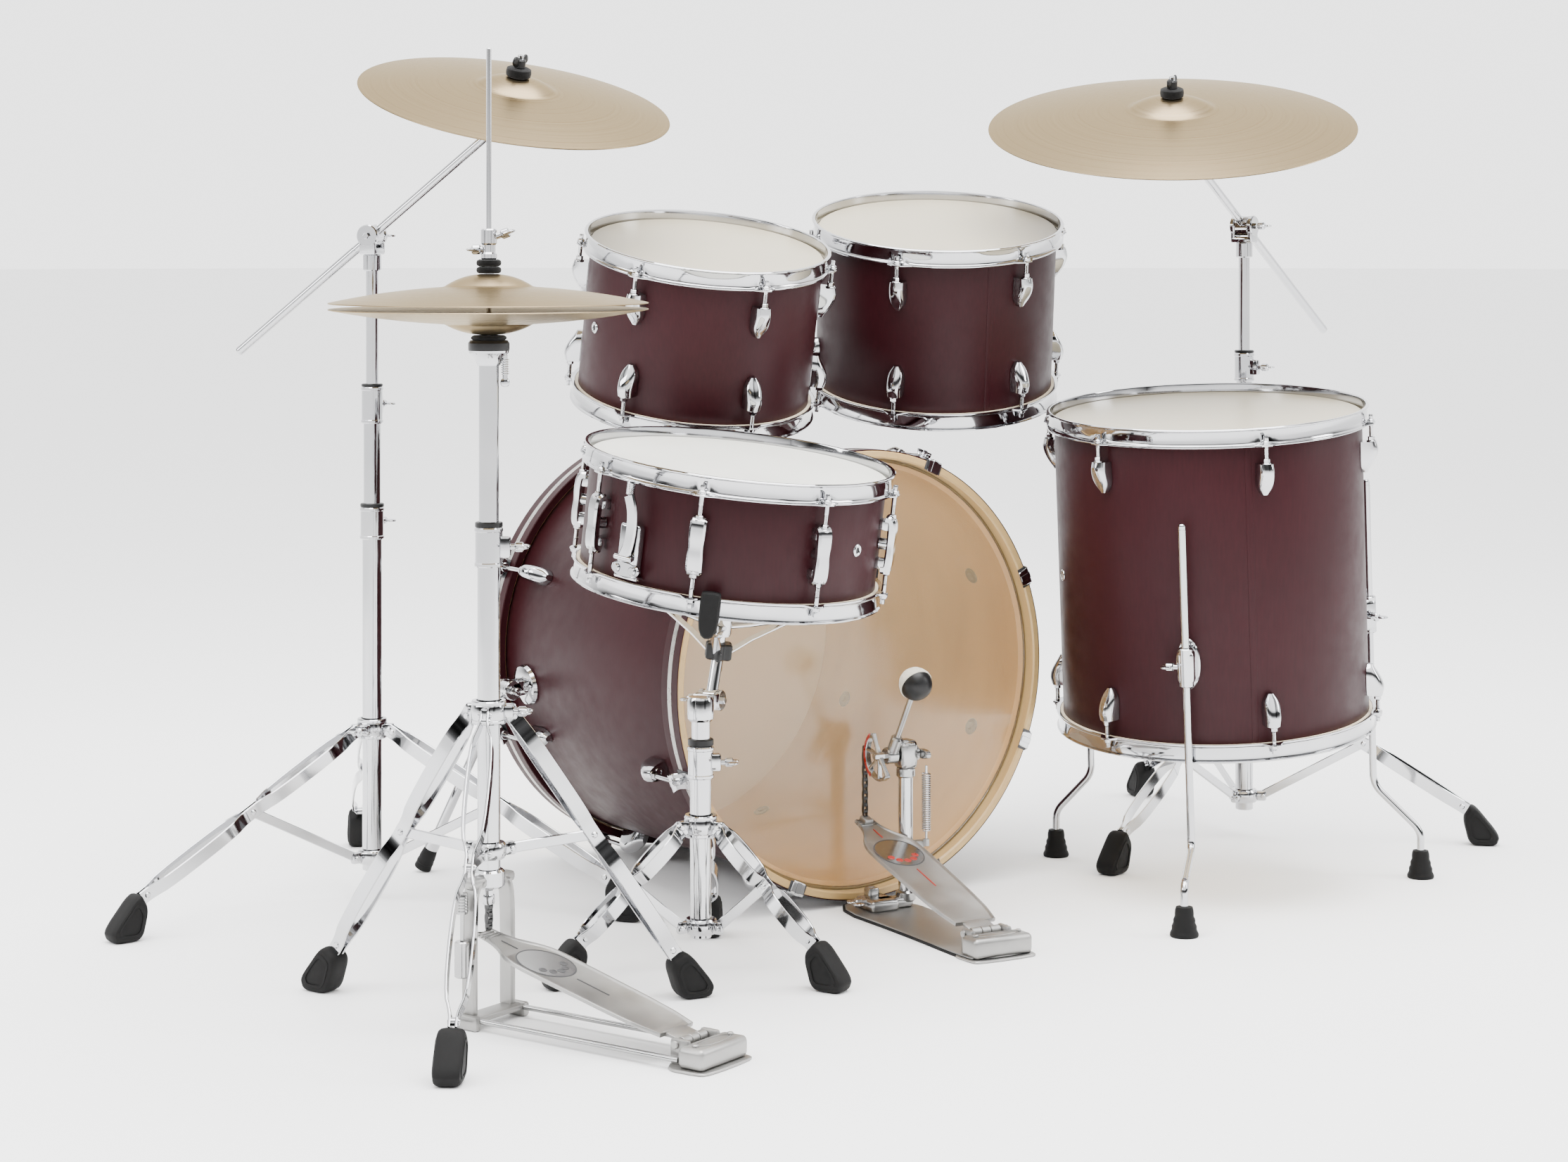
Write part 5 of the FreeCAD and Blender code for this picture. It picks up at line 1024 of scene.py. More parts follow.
def makeSnareStand():
    s = snareStand
    d = drums["snare"]
    m, zero, metal = drumMetal["snare"]
    base = kit + np.array(s["at"])
    parts = tripod(s["at"], s["topZ"], s["lowZ"], s["spread"], s["angles"])
    left = np.array((-0.821, 0.570, 0))
    back = np.array((-0.57, -0.821, 0))
    parts += [tubeUp(base, 40, 240, outerTube), collarLock(base, 248, 38, 16, left),
              collarLock(base, 173, 26, 19.5, back)]
    piece("snareStandBase", "kit", chrome, parts, ["snare_stand_base"])
    piece("snareStandBush", "kit", blackPlastic,
          [pipe(15.4, 11.2, 268, 276, axes(base), 1.0)])
    lean, lowRim = m[:3, 2], -d["depth"] / 2 - 12.0
    hub = point(m, 0, 0, lowRim - 88)
    flat = unit((hub[0] - base[0], hub[1] - base[1], 0))
    pivot = base + flat * s["offset"] + up * s["pivotZ"]
    axis = unit(np.cross(up, flat))
    top = s["pivotZ"] + 9.0
    cap = lathe([(0, top - 30), (13, top - 30), (15.6, top - 27), (16, top - 22), (16, top - 5),
                 (14, top - 1), (0, top)], axes(base), 40)
    neck = bar(base + up * (top - 14), pivot - flat * 12, 8.0, 1.0)
    tilter = [tubeUp(base, 120, top - 25, innerTube), cap, neck,
              forkCheeks(pivot, axis, -flat, 12.5, 16.0), wingBolt(pivot + axis * 14, axis, 11, 32)]
    piece("snareStandTube", "snare_stand_tube", chrome, tilter, ["snare_stand_tube"])
    # basket: stem, threaded hub with a lobed nut, three folded arms
    stem = [boss(pivot, axis, 12, 15.4), bar(pivot, hub + lean * 12, 7.0, 1.0)]
    turn = np.linspace(0, 2 * np.pi, 96, endpoint=False)
    lobe = 15.5 + 2.2 * np.cos(turn * 6)
    nut = slab(np.stack([lobe * np.cos(turn), lobe * np.sin(turn)], -1), 2, 22, axes(hub, lean), 2.0)
    stem.append(lathe([(0, -14), (6, -14), (7, -12)] + [(6.4 + 0.6 * (k % 2), -11 + k * 1.1)
                                                        for k in range(12)]
                      + [(7, 3), (7, 30), (12, 31), (13, 34), (13, 52), (11, 55), (0, 56)],
                      axes(hub, lean), 32))
    grip = d["radius"] + 4.8 + 4.5 + 0.3
    pads = []
    for i in range(3):
        t = turned(zero, s["firstArm"] + 120.0 * i)
        side = t[:3, 1]
        path = [point(t, 8, 0, lowRim - 46), point(t, 50, 0, lowRim - 42),
                point(t, grip - 34, 0, lowRim - 26), point(t, grip - 4, 0, lowRim - 16),
                point(t, grip + 6, 0, lowRim - 8), point(t, grip + 6, 0, lowRim + 6)]
        stem.append(sweep(softened(path, 2), stripSection(4.6, 15.0, 1.4), side))
        stem.append(sweep([point(t, 10, 0, lowRim - 80), point(t, 40, 0, lowRim - 62),
                           point(t, grip * 0.5, 0, lowRim - 37)], stripSection(3.4, 11.0, 1.0), side))
        stem.append(peg(3.4, -9.5, 9.5, turned(shifted(t, grip * 0.5, 0, lowRim - 37), 90, 0), 0.9, 14))
        pad = shifted(t, grip + 5.5, 0, lowRim + 6)
        outline = softened([(-27, -11), (24, -12), (27, -9), (27, 9), (24, 12), (-27, 11)], 2, True)
        pads.append(slab(outline, -6.0, 6.2, axes(pad[:3, 3], t[:3, 0], t[:3, 2]), 2.4))
        pads.append(roundBlock((12, 20, 5), shifted(t, grip - 2, 0, lowRim - 13.6), 2))
    piece("snareBasket", "snare_basket", chrome, stem, ["snare_basket"])
    piece("snareBasketNut", "snare_basket", blackPlastic, [nut])
    piece("snareBasketPads", "snare_basket", rubber, pads)
    # strainer, butt, wires
    near, far = turned(zero, 17.4), turned(zero, 197.4)
    face = d["radius"] + 1.2
    metal.append(roundBlock((13, 29, 60), shifted(near, face + 6.6, 0, -19), 3.5, 4))
    metal.append(slab(oval(21, 9.5, 36), 8.0, 14.5,
                      axes(point(near, face, 0, -42), near[:3, 0], near[:3, 1]), 1.6))
    metal += [peg(5.4, 14, 17.2, axes(point(near, face, x, -42), near[:3, 0], near[:3, 2]), 1.4, 20)
              for x in (-12, 12)]
    metal.append(roundBlock((11, 29, 28), shifted(far, face + 5.6, 0, -35), 3.0, 4))
    metal += [peg(3.0, 10.5, 13, axes(point(far, face, x, -35), far[:3, 0], far[:3, 2]), 0.7, 14)
              for x in (-7, 7)]
    metal.append(roundBlock((12, 34, 5), shifted(near, face + 6, 0, -51), 1.5))
    piece("snareHardware", "snare_drum", chrome, metal, ["snare_hardware"])
    x = face + 18
    handle = [point(near, x, 0, -27), point(near, x + 0.6, 6, -14), point(near, x + 1.2, 9, 8),
              point(near, x + 2.6, 8, 30), point(near, x + 3.4, 2, 45)]
    knurl = [(0, 46), (4.4, 46)] + [(5.0 - 0.4 * (k % 2), 47 + k)
                                    for k in range(14)] + [(4.2, 61.6), (0, 62)]
    lever = [sweep(softened(handle, 2), stripSection(5.0, 15.0, 1.8), near[:3, 1]),
             lathe(knurl, shifted(near, x), 24),
             peg(3.5, -13, 13, turned(shifted(near, x, 0, -28), 90, 0), 0.8, 18),
             peg(2.4, 30, 48, shifted(near, x), 0.4, 14)]
    piece("snareLever", "snare_lever", chrome, lever, ["snare_lever"])
    low = -d["depth"] / 2 - 0.6 - 1.6
    reach = d["radius"] - 22
    strands = [coil(point(near, -reach + 12, y, low), point(near, reach - 12, y, low), 0.75, 40, 0.34, 6)
               for y in np.linspace(-18, 18, 10)]
    plates = [roundBlock((16, 42, 1.4), shifted(near, s * (reach - 8), 0, low), 0.5) for s in (-1, 1)]
    piece("snareWires", "snare_drum", springSteel, strands + plates, ["snare_wires"])


makeSnareStand()
print("snare stand made")


# cymbals on boom stands

cymbalStands = {
    "crash": dict(at=(520.0, -135.0, 0.0), pivotZ=872.0, centre=(398.0, 27.0, 1046.0),
                  lean=(0.0304, 0.3242, 0.9455), diameter=406.4, rise=33.0, bell=52.0, bellRise=13.0,
                  spread=363.7, angles=(5.8, 125.8, 245.8), topZ=226.0, lowZ=58.0, tail=248.0,
                  collars=(474.0, 521.0, 626.0, 678.0)),
    "ride": dict(at=(-712.0, 209.0, 0.0), pivotZ=885.0, centre=(-493.0, 297.0, 1023.0),
                 lean=(0.202, 0.2297, 0.9521), diameter=508.0, rise=42.0, bell=60.0, bellRise=15.0,
                 spread=339.6, angles=(15.0, 135.0, 255.0), topZ=230.0, lowZ=60.0, tail=325.0,
                 collars=(474.0, 521.0, 660.0, 705.0))}


def cymbalProfile(diameter, bell, rise, bellRise):
    # a parabolic bow with a domed bell standing on it; the underside is the same curve a sheet lower
    hole, sheet = 6.3, 1.2
    radius, bow = diameter / 2, rise - bellRise
    share = np.linspace(1 - 0.4 / radius, bell / radius * 1.06, 26)
    outer = np.column_stack([share * radius, bow * (1 - share ** 2)])
    shoulder = bow * (1 - (bell / radius) ** 2)
    dome = np.linspace(0.98, hole / bell, 16)
    inner = np.column_stack([dome * bell, shoulder + (rise - shoulder) * (1 - dome ** 2.4)])
    upper = np.concatenate([outer, inner])
    rim = [(radius, -sheet / 2)]
    return np.concatenate([rim, upper, (upper - (0, sheet))[::-1]])


def feltDisc(radius, low, high, place):
    e = 3.2
    profile = [(4.4, low), (radius - e, low), (radius - 0.7, low + e * 0.4), (radius, (low + high) / 2),
               (radius - 0.7, high - e * 0.4), (radius - e, high), (4.4, high)]
    return lathe(profile, place, 40, True)


def makeCymbalStand(name, s):
    base = kit + np.array(s["at"])
    lean = unit(s["lean"])
    rim = kit + np.array(s["centre"])
    feltTop = s["rise"] - 1.2 - 0.3 - 1.6
    feltLow = feltTop - 12.0
    hinge = rim + lean * (feltLow - 34)
    pivot = base + up * s["pivotZ"]
    way = unit(hinge - pivot)
    swing = unit(np.cross(up, way))
    c = s["collars"]
    parts = tripod(s["at"], s["topZ"], s["lowZ"], s["spread"], s["angles"])
    parts += [tubeUp(base, 40, c[0] + 4, outerTube),
              collarLock(base, (c[0] + c[1] - 5) / 2, c[1] - 5 - c[0], 16, swing),
              collarLock(base, s["topZ"], 26, 19.6, -swing)]
    piece(name + "StandBase", "kit", chrome, parts, [name + "_stand_base"])
    piece(name + "StandBush", "kit", blackPlastic,
          [pipe(15.6, 11.2, c[1] - 5, c[1], axes(base), 1.0)])
    upper = [tubeUp(base, 250, c[2] + 3, innerTube),
             collarLock(base, (c[2] + c[3] - 4) / 2, c[3] - c[2] - 4, 14.5, swing),
             tubeUp(base, c[3] - 8, s["pivotZ"] - 18, thinTube),
             forkCheeks(pivot, swing, -up, 15.0, 20.0), wingBolt(pivot + swing * 16, swing, 11, 36),
             pipe(12, 7.8, s["pivotZ"] - 46, s["pivotZ"] - 24, axes(base), 1.6)]
    piece(name + "Tube", name + "_tube", chrome, upper, [name + "_tube"])
    piece(name + "TubeBush", name + "_tube", blackPlastic,
          [pipe(14.0, 8.1, c[3] - 4, c[3], axes(base), 0.9)])
    top = hinge - way * 16
    tail = pivot - way * s["tail"]
    back = axes(tail, way)
    knurl = [(5.4, 0), (6.0, 1)] + [(6.0 + 0.3 * (k % 2), 2 + k * 1.5)
                                    for k in range(int((s["tail"] - 30) / 1.5))] + [(5.6, s["tail"] - 26)]
    boom = [boss(pivot, swing, 14, 19.4), bar(tail, top, 5.8, 1.0, 24),
            lathe([(3, 0)] + knurl + [(3, s["tail"] - 26)], back, 18, True),
            forkCheeks(hinge, swing, -way, 10.0, 15.0, 7.0),
            roundBlock((26, 19, 24), axes(pivot, way, swing), 4),
            pipe(8.6, 5.6, -26, -12, axes(top, way), 1.2)]
    piece(name + "Boom", name + "_boom", chrome, boom, [name + "_boom"])
    along = axes(rim, lean)
    high = s["rise"] + 0.3
    post = [(0, high), (4.0, high)] + [(3.8 + 0.35 * (k % 2), high + 1 + k * 1.0)
                                       for k in range(29)] + [(0, high + 30.4)]
    tilter = [boss(hinge, swing, 9, 14.4), peg(4.5, 0, 34, axes(hinge, lean), 0.5, 18),
              lathe([(0, feltLow - 8), (7, feltLow - 8), (8, feltLow - 4), (14, feltLow - 2),
                     (15.6, feltLow), (0, feltLow)], along, 36),
              lathe(post, along, 18), wingBolt(hinge + swing * 11, swing, 10, 26)]
    piece(name + "Tilter", name + "_tilter", chrome, tilter, [name + "_tilter"])
    piece(name + "Felts", name + "_tilter", blackFelt,
          [feltDisc(17.0, feltLow, feltTop, along), feltDisc(16.5, high, high + 12, along)])
    nut = [peg(7.4, high + 11.6, high + 24, along, 1.6, 24),
           peg(4.6, feltTop - 2, s["rise"] + 5, along, 0.4, 20)]
    nut += [blob((15, 5.2, 13), turned(shifted(turned(along, 30), side * 10.5, 0, high + 21.5),
                                       side * -28, 1), 0.8) for side in (-1, 1)]
    piece(name + "WingNut", name + "_tilter", blackPlastic, nut)
    plate = lathe(cymbalProfile(s["diameter"], s["bell"], s["rise"], s["bellRise"]), along, 180, True)
    piece(name + "Cymbal", name + "_cymbal", bronze(name + "Bronze", along), [plate],
          [name + "_cymbal"])


for standName, stand in cymbalStands.items():
    makeCymbalStand(standName, stand)
print("cymbal stands made")


# pedals

def footboardPart(place, x, heel, hingeZ, toe, toeZ):
    # half width follows the length: narrow toe, wide shoulder, drawn-in heel, with a raised lip
    length = math.hypot(heel - toe, toeZ - hingeZ)
    slope = math.degrees(math.atan2(toeZ - hingeZ, heel - toe))
    hinge = shifted(place, x, heel, hingeZ)
    tilt = shifted(turned(hinge, -slope, 0), 0, -length, 0)
    along = np.linspace(0, length - 22, 60)
    knots = [(0, 12.2), (6, 13), (20, 13.6), (38, 20), (56, 32), (76, 38.4), (100, 39),
             (length - 90, 37), (length - 50, 34.5), (length - 22, 29)]
    half = np.interp(along, [k[0] for k in knots], [k[1] for k in knots])
    kernel = np.array((1, 2, 3, 2, 1)) / 9.0
    half[2:-2] = np.convolve(half, kernel, "valid")
    u = np.array((-1, -1, -0.985, -0.93, -0.9, -0.86, 0, 0.86, 0.9, 0.93, 0.985, 1, 1, 0.96, -0.96))
    z = np.array((-1.2, 2.2, 3.0, 3.0, 1.6, 0.8, 0.9, 0.8, 1.6, 3.0, 3.0, 2.2, -1.2, -2.0, -2.0))
    grid = np.stack([np.outer(half, u), np.outer(along, np.ones(len(u))), np.outer(np.ones(60), z)], -1)
    board = placed(closed(grid), tilt)
    barrel = [pipe(6.0, 3.1, a, b, turned(hinge, 90, 1), 0.6, 28) for a,
              b in ((-20, -7), (-6, 6), (7, 20))]
    web = roundBlock((38, 26, 3.6), shifted(tilt, 0, length - 14, 0), 1.4)
    return tilt, length, joined(board, *barrel, web)


def boardMarks(tilt, length, body, name, material):
    # a thin oval ring with a centre line before and after it, and five dots on a short arc
    middle = length * 0.31
    disc = slab(oval(30.5, 34.5, 64, (0, middle)), 0.3, 1.25, tilt, 0.2)
    ring = band(oval(32, 36, 64, (0, middle)), oval(30.2, 34.2, 64, (0, middle)), 0.4, 1.5, tilt, 0.3)
    lines = [roundBlock((1.8, span, 0.9), shifted(tilt, 0, y, 1.1), 0.3) for y,
             span in ((middle + 68, 46), (middle - 54, 24))]
    angles = np.radians(np.linspace(28, 152, 5))
    dots = [lathe([(0, 0.6), (4.7, 0.6), (4.7, 1.5), (4.0, 1.9), (0, 1.9)],
                  shifted(tilt, 20 * math.cos(a), middle + 22 * math.sin(a)), 20) for a in angles]
    ribs = [roundBlock((30, 1.6, 1.2), shifted(tilt, 0, y, 1.2), 0.5) for y in (5, 10, 15)]
    piece(name + "Disc", body, brightCast, [disc] + ribs)
    piece(name + "Ring", body, greyEnamel, [ring])
    piece(name + "Dots", body, material, dots + lines)


def heelPlateParts(place, x, heel, hingeZ):
    back = heel + 10.0
    parts = [roundBlock((84, 33.6, hingeZ - 1.2), shifted(place, x, back + 17, 3 + (hingeZ - 1.2) / 2),
                        6, 4)]
    parts.append(slab(softened([(-47, -31), (47, -31), (47, 20), (40, 31), (-40, 31), (-47, 20)], 2,
                               True), 0.2, 3.2, shifted(place, x, back + 10, 0), 0.8))
    for side in (-1, 1):
        parts.append(roundBlock((8, 24, hingeZ + 4),
                                shifted(place, x + side * 26, heel + 4, 2 + (hingeZ + 4) / 2), 3.2))
        parts.append(peg(4.6, 29.9, 33.0, turned(shifted(place, x, heel, hingeZ), 90 * side, 1), 0.9, 18))
        parts.append(peg(3.6, hingeZ - 0.4, hingeZ + 2.6, shifted(place, x + side * 31, back + 17, 2),
                         0.8, 6))
    parts.append(peg(3.0, -30, 30, turned(shifted(place, x, heel, hingeZ), 90, 1), 0.4, 16))
    parts.append(band(oval(30, 9, 40), oval(28.6, 7.6, 40), hingeZ + 1.6, hingeZ + 2.6,
                      shifted(place, x, back + 17, 0), 0.3))
    return parts


def chainPart(low, high, across, pitch=8.5, width=7.0):
    # a roller chain: rollers on pins with pairs of waisted plates between them
    low, high = np.array(low, float), np.array(high, float)
    length = np.linalg.norm(high - low)
    count = max(2, int(round(length / pitch)))
    step = length / count
    m = axes(low, high - low, across)
    rollers = [peg(2.8, -width * 0.28, width * 0.28, turned(shifted(m, 0, 0, k * step), 90, 1), 0.3, 12)
               for k in range(count + 1)]
    pins = [peg(1.0, -width * 0.5, width * 0.5, turned(shifted(m, 0, 0, k * step), 90, 1), 0.2, 8)
            for k in range(count + 1)]
    t = np.linspace(0, 2 * np.pi, 20, endpoint=False)
    outline = np.stack([np.cos(t) * 3.8 * (0.74 + 0.26 * np.abs(np.sin(t)) ** 2),
                        np.sin(t) * (step / 2 + 3.0)], -1)
    plates = []
    for k in range(count):
        for side in (-1, 1):
            x = side * width * (0.33 + 0.1 * (k % 2))
            place = axes(point(m, x, 0, (k + 0.5) * step), m[:3, 0], m[:3, 1])
            plates.append(slab(outline, -0.4, 0.4, place, 0.15))
    return joined(*rollers, *pins, *plates)


hat = dict(at=(698.0, 494.0, 0.0), heading=110.1, heel=283.0, hingeZ=24.0, toeZ=98.0, floorZ=150.0,
           seat=764.0, diameter=355.6, rise=28.0, gap=8.0, rodTop=1083.0,
           topZ=345.0, lowZ=191.0, spread=250.9, angles=(291.3, 51.3, 171.3))


def makeHiHat():
    base = kit + np.array(hat["at"])
    floor = turned(axes(base), hat["heading"] - 90)
    right = np.array((-0.821, 0.570, 0))
    upright = axes(base)
    parts = tripod(hat["at"], hat["topZ"], hat["lowZ"], hat["spread"], hat["angles"])
    z = hat["floorZ"]
    parts += [pipe(outerTube, 4.2, z, 512, upright, 0.8), collarLock(base, 528, 44, 16, right),
              collarLock(base, 345, 26, 19.6, right)]
    parts.append(pipe(18, 4.2, z - 0.2, z + 20, upright, 2.5))
    piece("hihatStandBase", "kit", chrome, parts, ["hihat_stand_base"])
    piece("hihatStandBush", "kit", blackPlastic,
          [pipe(15.5, 11.2, 550, 556, upright, 1.0)])
    cast = []
    half = 32.0
    for side in (-1, 1):
        post = [(side * half, 0, 14), (side * half, 0, 60), (side * half, 0, 120),
                (side * (half - 3), 0, 152), (side * (half - 14), 0, 160)]
        path = np.array([point(floor, *p) for p in post])
        cast.append(sweep(softened(path, 2), stripSection(7.4, 20.0, 2.2), floor[:3, 1]))
        cast.append(roundBlock((10, 30, 16), shifted(floor, side * 41, 6, 8.2), 3))
    cast.append(roundBlock((half * 2 + 6, 20, 12), shifted(floor, 0, 0, z + 8), 4))
    cast.append(roundBlock((92, 26, 7), shifted(floor, 0, 6, 11.4), 2.4))
    cast += heelPlateParts(floor, 0, hat["heel"], hat["hingeZ"])
    piece("hihatFrame", "kit", castMetal, cast)
    rods = [peg(3.0, 0, hat["heel"], turned(shifted(floor, side * 38, 10, 11), -90, 0), 0.5, 14)
            for side in (-1, 1)]
    knurl = [(0, 0), (6, 0), (6.4, 1.5)] + [(6.8 - 0.6 * (k % 2), 3 + k * 1.6)
                                            for k in range(12)] + [(6, 23), (0, 24)]
    rods.append(lathe(knurl, shifted(floor, half + 13, 0, 128), 24))
    rods.append(peg(2.4, 96, 130, shifted(floor, half + 13, 0, 0), 0.4, 12))
    rods.append(peg(8.4, 58, 98, shifted(floor, half + 13, 0, 0), 1.4, 24))
    piece("hihatFrameRods", "kit", brightCast, rods)
    tilt, length, board = footboardPart(floor, 0, hat["heel"], hat["hingeZ"], -8.0, hat["toeZ"])
    piece("hihatFootboard", "hihat_footboard", castMetal, [board], ["hihat_footboard"])
    boardMarks(tilt, length, "hihat_footboard", "hihatBoard", greyEnamel)
    # upper tube, seat and its tilt screw
    seat = hat["seat"]
    tube = [pipe(innerTube, 4.3, 380, seat - 30, upright, 0.8),
            lathe([(4.3, seat - 34), (12.4, seat - 34), (14, seat - 31), (15.6, seat - 26),
                   (22, seat - 20), (22.4, seat - 17.5), (4.3, seat - 17.5)], upright, 44, True)]
    screwBase = base + right * 18
    tube += [bar(screwBase + up * (seat - 50), screwBase + up * (seat - 22), 2.8, 0.5),
             blob((12, 4.0, 10), axes(screwBase + up * (seat - 53)), 0.8)]
    tube.append(coil(screwBase + up * (seat - 44), screwBase + up * (seat - 26), 4.0, 7, 0.6, 10))
    piece("hihatTube", "hihat_tube", chrome, tube, ["hihat_tube"])
    cup = lathe([(4.6, seat - 17.4), (22.6, seat - 17.4), (23, seat - 16), (23, seat - 9),
                 (21, seat - 6), (4.6, seat - 6)], upright, 44, True)
    piece("hihatSeat", "hihat_tube", blackPlastic, [cup])
    piece("hihatSeatFelt", "hihat_tube", blackFelt,
          [feltDisc(20, seat - 6.2, seat - 0.4, upright)])
    lowRim = seat + hat["rise"]
    highRim = lowRim + hat["gap"]
    lower = cymbalProfile(hat["diameter"], 50.0, hat["rise"], 11.0) * (1, -1)
    place = axes(base + up * lowRim)
    piece("hihatBottomCymbal", "hihat_tube", bronze("hatLowerBronze", place),
          [lathe(lower, place, 160, True)], ["hihat_bottom_cymbal"])
    place = axes(base + up * highRim)
    upper = cymbalProfile(hat["diameter"], 50.0, hat["rise"] + 4, 13.0)
    piece("hihatTopCymbal", "hihat_top", bronze("hatUpperBronze", place),
          [lathe(upper, place, 160, True)], ["hihat_top_cymbal"])
    # rod and chain
    low = z - 12
    rod = [peg(3.0, low, hat["rodTop"], upright, 0.8, 18), hexNut(5.4, low + 2, low + 9, upright),
           roundBlock((12, 9, 12), shifted(floor, 0, 0, low - 2), 2)]
    piece("hihatRod", "hihat_rod", chrome, rod, ["hihat_rod"])
    chain = chainPart(point(floor, 0, 0, hat["toeZ"] + 6), point(floor, 0, 0, low - 4), floor[:3, 0],
                      8.5, 9.0)
    piece("hihatChain", "hihat_rod", darkSteel, [chain])
    # clutch
    bell = highRim + hat["rise"] + 4
    clamp = bell - 1.2 - 0.3 - 1.6
    body = [(3.15, bell + 16), (8, bell + 16), (9, bell + 17.5), (9, bell + 22), (7.4, bell + 24),
            (7.4, bell + 32), (9, bell + 34), (9, bell + 48.5), (8, bell + 50), (3.15, bell + 50)]
    clutch = [lathe(body, upright, 32, True), pipe(5.2, 3.15, bell - 14, bell + 18, upright, 0.4),
              lathe([(3.2, clamp - 8), (9.4, clamp - 8), (10, clamp - 7), (10, clamp - 3),
                     (9, clamp - 2), (3.2, clamp - 2)], upright, 28, True),
              wingBolt(base + right * 7 + up * (bell + 41), unit(right + up * 0.35), 12, 24),
              wingBolt(base - right * 6 + up * (bell + 27), -right, 8, 18)]
    piece("hihatClutch", "hihat_top", chrome, clutch, ["hihat_clutch"])
    piece("hihatClutchFelts", "hihat_top", blackFelt,
          [feltDisc(14, bell + 0.4, bell + 8, upright), feltDisc(14, bell + 8.2, bell + 16, upright),
           feltDisc(12, clamp - 2.2, clamp - 0.2, upright)])


makeHiHat()
print("hi-hat made")


kick = dict(at=(2.0, 310.0, 0.0), heading=84.8, boardX=17.4, heel=246.0, hingeZ=26.0, toeZ=112.0,
            postX=-22.0, clampY=-50.0, axleZ=202.0, cam=34.0, reach=116.0, lean=31.0)


def makeKickPedal():
    k = kick
    floor = turned(axes(kit + np.array(k["at"])), k["heading"] - 90)
    x, axle = k["boardX"], k["axleZ"]
    outline = softened([(-44, -64), (62, -64), (58, 120), (x + 46, 270), (x + 40, 292), (x - 40, 292),
                        (x - 46, 270), (-40, 120)], 2, True)
    middle = outline.mean(0)
    sole = slab(middle + (outline - middle) * 0.975, 0.8, 5.0, floor, 1.0)
    edge = band(outline, middle + (outline - middle) * 0.96, 0.0, 3.8, floor, 0.8)
    piece("kickSolePlate", "kit", castMetal,
          [sole] + heelPlateParts(floor, x, k["heel"], k["hingeZ"]), ["kick_base"])
    piece("kickSoleEdge", "kit", rubber, [edge])
    frameParts = [roundBlock((40, 46, 15), shifted(floor, x, k["clampY"] + 44, 12), 4, 4),
                  roundBlock((16, 16, 24), shifted(floor, x, k["clampY"] + 30, 18), 3),
                  roundBlock((54, 20, 15), shifted(floor, (k["postX"] + x) / 2, 0, 12), 5, 4),
                  roundBlock((25, 27, 38), shifted(floor, k["postX"], 0, axle), 7, 4),
                  pipe(12.5, 9.4, axle - 30, axle - 17, shifted(floor, k["postX"]), 2.0),
                  pipe(13, 9.4, 12, 26, shifted(floor, k["postX"]), 2.5),
                  pipe(10.5, 5.2, 10, 17, turned(shifted(floor, k["postX"], 0, axle), -90, 1), 1.5, 28)]
    piece("kickCastings", "kit", brightCast, frameParts)
    posts = [peg(9.5, 6, axle - 14, shifted(floor, k["postX"]), 1.0, 36),
             hexNut(4.4, 24, 31, shifted(floor, x, k["clampY"] + 30)),
             wingBolt(point(floor, x + 14, k["clampY"] + 46, 16), floor[:3, 0], 16, 30)]
    piece("kickPost", "kit", chrome, posts)
    tilt, length, board = footboardPart(floor, x, k["heel"], k["hingeZ"], -42.0, k["toeZ"])
    clip = roundBlock((13, 16, 8), shifted(tilt, 0, 8, 4.5), 2)
    piece("kickFootboard", "kick_footboard", castMetal, [board, clip], ["kick_footboard"])
    boardMarks(tilt, length, "kick_footboard", "kickBoard", redEnamel)
    # axle, spoked cam, rocker, beater
    start = shifted(floor, 0, 0, axle)
    parts = [peg(5.0, -46, 26, turned(start, 90, 1), 0.8, 6),
             peg(11, -7, 9, turned(start, 90, 1), 1.6, 32)]
    camPlace = turned(shifted(floor, x, 0, axle), 90, 1)
    arc = np.radians(np.linspace(-150, 40, 48))
    rim = np.column_stack([(k["cam"] - 4) * np.cos(arc), (k["cam"] - 4) * np.sin(arc), np.zeros(48),
                           np.ones(48)]) @ camPlace.T
    parts.append(sweep(rim[:, :3], stripSection(4.0, 8.0, 1.0), camPlace[:3, 2]))
    for a in (-150, -100, -50, 0, 40):
        t = math.radians(a)
        tip = point(camPlace, (k["cam"] - 4) * math.cos(t), (k["cam"] - 4) * math.sin(t), 0)
        parts.append(sweep([camPlace[:3, 3], (camPlace[:3, 3] + tip) / 2, tip],
                           stripSection(4.6, 6.4, 1.2), camPlace[:3, 2], (1.25, 0.9, 1.1)))
    rocker = [(-4, 0), (2, 6), (16, 6.5), (24, 4), (26, 0), (24, -4), (16, -6.5), (2, -6)]
    parts.append(slab(softened([(y, x) for x, y in rocker], 1, True), -3.5, 3.5,
                      turned(shifted(start, -42, 0, 0), 90, 1), 1.0))
    back = math.radians(k["lean"])
    way = floor[:3, 1] * math.sin(back) + up * math.cos(back)
    centre = start[:3, 3]
    parts += [bar(centre - way * 2, centre + way * (k["reach"] - 10), 4.0, 0.8, 18),
              bar(centre + way * 6, centre + way * 30, 8.0, 2.2, 28),
              wingBolt(centre + way * 18 - floor[:3, 0] * 6, -floor[:3, 0], 8, 18)]
    piece("kickBeaterArm", "kick_beater", brightCast, parts, ["kick_beater"])
    strip = np.column_stack([(k["cam"] - 2.7) * np.cos(arc[2:30]), (k["cam"] - 2.7) * np.sin(arc[2:30]),
                             np.zeros(28), np.ones(28)]) @ camPlace.T
    piece("kickCamStrip", "kick_beater", redEnamel,
          [sweep(strip[:, :3], stripSection(4.8, 9.2, 0.8), camPlace[:3, 2])])
